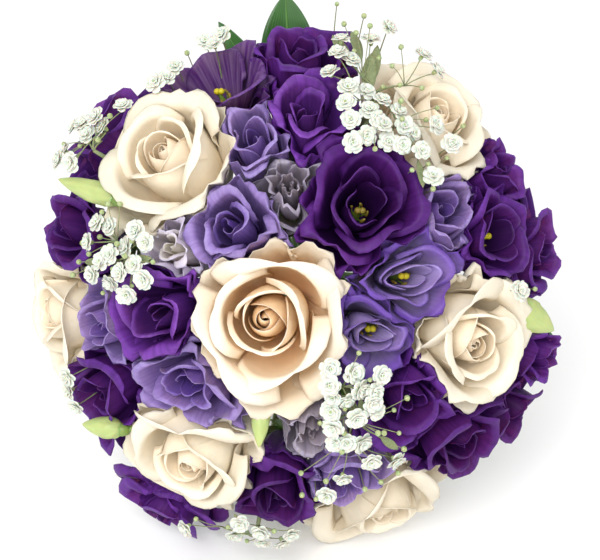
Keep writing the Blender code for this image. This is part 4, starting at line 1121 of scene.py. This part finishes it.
class Nodes:
    """A short way to write node trees."""

    def __init__(self, name):
        self.material = bpy.data.materials.new(name)
        self.material.use_nodes = True
        self.tree = self.material.node_tree
        self.shader = self.tree.nodes["Principled BSDF"]

    def make(self, kind, inputs=None, **settings):
        node = self.tree.nodes.new(kind)
        for key, setting in settings.items():
            setattr(node, key, setting)
        for key, source in (inputs or {}).items():
            self.plug(source, node.inputs[key])
        return node

    def plug(self, source, socket):
        if isinstance(source, bpy.types.NodeSocket):
            self.tree.links.new(source, socket)
        else:
            socket.default_value = source

    def mix(self, factor, a, b, blend="MIX"):
        node = self.make("ShaderNodeMix", {0: factor, 6: a, 7: b}, data_type="RGBA", blend_type=blend)
        return node.outputs[2]

    def times(self, colour, tone):
        return self.mix(1.0, colour, tone, "MULTIPLY")

    def ramp(self, factor, *stops):
        """A colour ramp: stops are (position, colour), where a colour is hex digits, a grey or RGBA."""
        node = self.make("ShaderNodeValToRGB", {0: factor})
        elements = node.color_ramp.elements
        while len(elements) < len(stops):
            elements.new(0.5)
        for element, (position, colour) in zip(elements, stops):
            if isinstance(colour, float):
                colour = (colour, colour, colour, 1)
            element.position = position
            element.color = srgb(colour) if isinstance(colour, str) else colour
        return node.outputs[0]

    def math(self, operation, *values):
        return self.make("ShaderNodeMath", dict(enumerate(values)), operation=operation).outputs[0]

    def noise(self, scale, detail, vector=None):
        """Noise over the surface's place in the room, or over other coordinates."""
        if vector is None:
            vector = self.make("ShaderNodeNewGeometry").outputs["Position"]
        node = self.make("ShaderNodeTexNoise", {"Vector": vector, "Scale": scale, "Detail": detail})
        return node.outputs["Fac"]

    def streaks(self, channels, counts):
        """Noise drawn out into lines: how often it changes over each of three channels."""
        lines = self.make("ShaderNodeCombineXYZ")
        for channel, count, socket in zip(channels, counts, lines.inputs):
            self.plug(self.math("MULTIPLY", channel, count), socket)
        return self.noise(1.0, 3.0, lines.outputs[0])

    def channels(self):
        """What the mesh data hold: how far along and across a point is, its layer and a chance value."""
        data = self.make("ShaderNodeAttribute", attribute_name="petal")
        parts = self.make("ShaderNodeSeparateColor", {"Color": data.outputs["Color"]})
        return (*parts.outputs, data.outputs["Alpha"])

    def off_middle(self, across):
        return self.math("ABSOLUTE", self.math("SUBTRACT", across, 0.5))

    def bump(self, height, strength, distance):
        node = self.make("ShaderNodeBump", {"Height": height, "Strength": strength, "Distance": distance})
        self.plug(node.outputs[0], self.shader.inputs["Normal"])

    def set(self, **values):
        for key, value in values.items():
            self.plug(value, self.shader.inputs[key.replace("_", " ")])


def petal_material(name, tones, vein, family):
    """A petal: its colour runs from throat to rim, from the bloom's heart outwards and along fine veins."""
    rim, body, throat, heart, edge = tones.split()
    gloss, soft, shine, sheen, tint = family
    nodes = Nodes(name + "_petal")
    along, across, layer, chance = nodes.channels()
    # colour along the petal, for outer and for inner petals: the dark throat and heart tones paint shade deep
    # in the bloom, and the roses' warm throat and heart partly paint light glowing in their hollows
    outer = nodes.ramp(along, (0.0, throat), (0.45, body), (0.86, rim), (0.97, edge))
    inner = nodes.ramp(along, (0.0, throat), (0.55, heart), (0.9, heart), (0.985, edge))
    colour = nodes.mix(nodes.ramp(layer, (0.12, 0.0), (0.75, 1.0)), inner, outer)
    # veins fan out from the root
    streak = nodes.ramp(nodes.streaks((across, along, chance), (26.0, 1.6, 40.0)), (0.35, 0.0), (0.65, 1.0))
    colour = nodes.mix(nodes.math("MULTIPLY", streak, vein), colour, srgb(throat))
    # soft blotches, so that no two petals are alike
    colour = nodes.times(colour, nodes.ramp(nodes.noise(55.0, 4.0), (0.3, 0.88), (0.7, 1.06)))
    colour = nodes.times(colour, nodes.math("MULTIPLY_ADD", chance, 0.14, 0.92))
    nodes.set(Base_Color=colour, Roughness=gloss, Specular_IOR_Level=shine)
    nodes.set(Subsurface_Weight=soft, Subsurface_Scale=0.004, Subsurface_Radius=(1.0, 0.75, 0.55))
    nodes.set(Sheen_Weight=sheen, Sheen_Roughness=0.5, Sheen_Tint=srgb(tint))
    fine = nodes.math("MULTIPLY", nodes.noise(900.0, 3.0), 0.35)
    nodes.bump(nodes.math("MULTIPLY_ADD", streak, 0.25, fine), 0.35, 0.0006)
    return nodes.material


def layered_material(name, tones, gloss=0.5, soft=0.0, streaks=30.0, relief=0.3, scale=70.0, contrast=1.0):
    """A surface whose tones follow the layers of its mesh data, with streaks along it."""

    def shade_of(*channels):
        """A tone that colours are multiplied by, weaker where less contrast is wanted."""
        return (*(1 + contrast * (channel - 1) for channel in channels), 1)

    nodes = Nodes(name)
    along, across, layer, chance = nodes.channels()
    blot = nodes.noise(scale, 5.0)
    tone = nodes.ramp(blot, (0.3, shade_of(0.72, 0.76, 0.7)), (0.7, shade_of(1.12, 1.1, 1.08)))
    streak = nodes.streaks((across, along, chance), (streaks, 3.0, 30.0))
    shade = nodes.ramp(streak, (0.35, shade_of(0.82, 0.84, 0.8)), (0.65, shade_of(1.08, 1.08, 1.05)))
    colour = nodes.times(nodes.times(nodes.ramp(layer, *tones), tone), shade)
    nodes.set(Base_Color=colour, Roughness=gloss, Subsurface_Weight=soft, Subsurface_Scale=0.003)
    nodes.bump(nodes.math("MULTIPLY_ADD", nodes.noise(700.0, 3.0), 0.5, streak), relief, 0.0004)
    return nodes.material


def floret_material():
    """Gypsophila: white petals with a green foot, pale green buds and olive twigs."""
    nodes = Nodes("gypsophila")
    along, across, layer, _ = nodes.channels()
    petal = nodes.ramp(along, (0.0, "9AAA6C"), (0.25, "C6CAB0"), (0.5, "D8D8CC"), (1.0, "E2E2D8"))
    rib = nodes.ramp(nodes.off_middle(across), (0.1, 0.22), (0.5, 0.0))
    petal = nodes.mix(rib, petal, srgb("C8CCBC"))
    blot = nodes.noise(900.0, 3.0)
    green = nodes.ramp(blot, (0.35, "8C9C66"), (0.65, "B2BE90"))
    wood = nodes.ramp(blot, (0.3, "76805A"), (0.7, "8A946C"))
    colour = nodes.mix(nodes.ramp(layer, (0.2, 0.0), (0.3, 1.0)), petal, green)
    colour = nodes.mix(nodes.ramp(layer, (0.7, 0.0), (0.8, 1.0)), colour, wood)
    nodes.set(Base_Color=colour, Roughness=0.6, Specular_IOR_Level=0.25)
    nodes.set(Subsurface_Weight=0.25, Subsurface_Scale=0.0015)
    nodes.bump(nodes.noise(1500.0, 2.0), 0.3, 0.0002)
    return nodes.material


def leaf_material():
    """A waxy dark leaf with a pale rib and fine veins that run along it."""
    nodes = Nodes("ruscus_leaf")
    along, across, layer, _ = nodes.channels()
    rib = nodes.ramp(nodes.off_middle(across), (0.0, 1.0), (0.035, 0.0))
    ripples = nodes.math("SINE", nodes.math("MULTIPLY", across, 95.0))
    veins = nodes.ramp(ripples, (0.55, 0.0), (1.0, 1.0))
    green = nodes.ramp(nodes.noise(45.0, 5.0), (0.3, "173A14"), (0.7, "2E6420"))
    colour = nodes.mix(nodes.ramp(along, (0.7, 0.0), (1.0, 0.35)), green, srgb("3C7428"))
    colour = nodes.mix(nodes.math("MULTIPLY", veins, 0.22), colour, srgb("4C8436"))
    colour = nodes.mix(nodes.math("MULTIPLY", rib, 0.6), colour, srgb("6E9A4C"))
    colour = nodes.mix(layer, colour, srgb("4F7A34"))
    nodes.set(Base_Color=colour, Roughness=0.32, Subsurface_Weight=0.05, Subsurface_Scale=0.002)
    nodes.bump(nodes.math("SUBTRACT", nodes.math("MULTIPLY", veins, 0.3), rib), 0.4, 0.0005)
    return nodes.material


def satin_material():
    """Ivory satin: a soft lengthwise gloss and a very fine weave."""
    nodes = Nodes("ribbon_satin")
    along, across, _, _ = nodes.channels()
    threads = nodes.math("SINE", nodes.math("MULTIPLY", across, 520.0))
    picks = nodes.math("SINE", nodes.math("MULTIPLY", along, 9000.0))
    weave = nodes.math("MULTIPLY", threads, picks)
    selvedge = nodes.ramp(nodes.off_middle(across), (0.455, 0.0), (0.475, 1.0))
    cloth = nodes.ramp(nodes.noise(90.0, 4.0), (0.3, "EFE6D2"), (0.7, "FAF5E8"))
    colour = nodes.mix(nodes.math("MULTIPLY", selvedge, 0.4), cloth, srgb("DCCFB4"))
    nodes.set(Base_Color=colour, Roughness=0.34, Anisotropic=0.55, Sheen_Weight=0.4)
    nodes.bump(nodes.math("MULTIPLY_ADD", selvedge, 1.5, weave), 0.25, 0.0002)
    return nodes.material


# The roughness, softness, shine, sheen and tint of the sheen of each family of petals
ROSE = (0.55, 0.25, 0.15, 0.0, "FFF4E0")
PURPLE = (0.5, 0.15, 0.15, 0.12, "7030A0")
LILAC = (0.45, 0.3, 0.25, 0.08, "A890D8")
PALE = (0.5, 0.3, 0.3, 0.08, "D0C0E8")
GREY = (0.6, 0.3, 0.25, 0.08, "C0B4D0")
# The finishes of the petals: the tones of rim, body, throat, heart and edge, how strong the veins are, and
# the family. The dark throats and hearts of the purple and lilac finishes are painted shade deep in the
# bloom; the throats and hearts of the roses are their own peach, brightened as painted light glowing
# in the hollows
FINISHES = {
    # the roses' own peach throat and heart, brightened as painted light glowing in the hollows
    "rose": ("EDE0C8 F7E9D0 FFE2B8 FFEACC EFE4CC", 0.05, ROSE),
    "rose_centre": ("EFDFC6 FFE0B8 FFC88E FFD4A0 F2E4D0", 0.05, ROSE),
    # painted shade: the near-black throat and the darker heart of the inner petals
    "purple": ("58247E 471C66 18052A 301046 602E8A", 0.35, PURPLE),
    # painted light: a lighter copy of the purple finish
    "purple_bright": ("6C3496 5C2C82 281040 462062 76409E", 0.35, PURPLE),
    # painted shade: a darker copy of the purple finish, with a near-black throat
    "purple_deep": ("501E70 381250 10031A 240736 542676", 0.35, PURPLE),
    "purple_trumpet": ("4C1C68 461A5E 8C7096 461A60 54267A", 0.5, PURPLE),
    # painted shade: the dark throat and the darker heart of the inner petals
    "lilac": ("9A80BC 866CAC 3C1C64 62449A 9A84BE", 0.30, LILAC),
    # painted shade: the dark throat inside the pressed slit; the purple rim band is its own colour
    "lilac_open": ("66429E B8A6D2 503858 A896C8 66429E", 0.20, LILAC),
    "lilac_small": ("C8B8D6 D6CAD8 E0D8BC E8DEC8 D2C6E0", 0.20, PALE),
    "grey": ("AA9EB6 A498AC 847E6A 92879A A094AC", 0.45, GREY),
}
# The blooms whose finish isn't the plain one of their colour; the lighter and the darker copy of the purple
# finish are painted light and painted shade
FINISH_OF = {
    "lilac_right": "lilac_open", "lilac_centre_right": "lilac_open", "lilac_small": "lilac_small",
    "purple_upper": "purple_bright", "purple_left": "purple_bright", "purple_heart": "purple_deep",
    "purple_lower_right": "purple_deep", "purple_right_lower": "purple_deep", "purple_bottom": "purple_deep",
    "purple_top_left": "purple_trumpet", "rose_centre": "rose_centre",
}


# Stage
FLOOR_HALF = 6.0
FLOOR_CORNERS = [(-1, -1), (1, -1), (1, 1), (-1, 1)]
SENSOR = 36
WORLD_LIGHT = 0.78
LAMP_TARGET = Vector((0, 0, 0.1))
# The place, the power and the size of each lamp
LAMPS = {
    "key": ((-0.5, -1.1, 1.3), 6, 0.7),
    "front": ((-0.2, -1.15, 0.85), 12.0, 0.8),
    "fill": ((1.2, -0.8, 0.9), 2.5, 1.0),
    "back": ((0.2, 1.2, 1.2), 4, 0.8),
}


def placed(name, data, place=(0, 0, 0), turn=(0, 0, 0)):
    """A new object of this data in the scene."""
    obj = bpy.data.objects.new(name, data)
    obj.location = place
    obj.rotation_euler = turn
    bpy.context.scene.collection.objects.link(obj)
    return obj


def stage():
    """A pale floor, soft light and the camera on the bouquet's axis."""
    bpy.context.scene.view_settings.view_transform = "Standard"
    mesh = bpy.data.meshes.new("floor")
    mesh.from_pydata([(FLOOR_HALF * x, FLOOR_HALF * y, 0) for x, y in FLOOR_CORNERS], [], [(0, 1, 2, 3)])
    nodes = Nodes("floor")
    nodes.set(Base_Color=(0.94, 0.94, 0.94, 1), Roughness=0.9)
    mesh.materials.append(nodes.material)
    floor = placed("floor", mesh)

    world = bpy.data.worlds.new("studio")
    world.use_nodes = True
    background = world.node_tree.nodes["Background"]
    background.inputs[0].default_value = (1.0, 1.0, 1.0, 1)
    background.inputs[1].default_value = WORLD_LIGHT
    bpy.context.scene.world = world
    for name, (place, power, size) in LAMPS.items():
        light = bpy.data.lights.new(name, "AREA")
        light.energy = power
        light.size = size
        placed(name, light, place, (LAMP_TARGET - Vector(place)).to_track_quat("-Z", "Y").to_euler())

    camera = bpy.data.cameras.new("camera")
    camera.sensor_width = SENSOR
    camera.lens = SENSOR * PIXELS / PICTURE[0]
    camera.shift_y = (MIDDLE[1] - PICTURE[1] / 2) / PICTURE[0]
    bpy.context.scene.camera = placed("camera", camera, laid(EYE), (TILT, 0, 0))


def dress():
    """Makes every piece that stands for a node of the frame."""
    finishes = {name: petal_material(name, *row) for name, row in FINISHES.items()}
    green = layered_material("stem_green", [(0.0, "6F9446"), (1.0, "8DAA5C")], 0.45, 0.1)
    lime = layered_material("bud_lime", [(0.0, "7F9A4C"), (1.0, "B2C07C")], 0.5, 0.4, 12.0, contrast=0.5)
    hearts = [(0.1, "7F9A3C"), (0.5, "8C7A2C"), (0.95, "D8C820")]
    heart = layered_material("lisianthus_heart", hearts, 0.5, 0.2)
    twine = layered_material("twine", [(0.0, "B99E6C")], 0.9, 0.0, 14.0, 0.6, 300.0)
    white = floret_material()
    for head in HEADS:
        if head.kind == "spray":
            spray(head, white)
        elif head.kind == "bud":
            bud(head, lime)
        else:
            colour = head.name.split("_")[0]
            slot = colour + "_petal"
            bloom(head, finishes[FINISH_OF.get(head.name, colour)], slot)
            if head.kind == "open":
                stamens(head, heart, slot)
    for plant, heads in PLANTS.items():
        if heads[0].kind != "spray":
            stem(plant, green)
    leaves = leaf_material()
    for sprig in SPRIGS:
        ruscus(sprig, leaves)
    ribbon(satin_material())
    tie(twine)


dress()
stage()
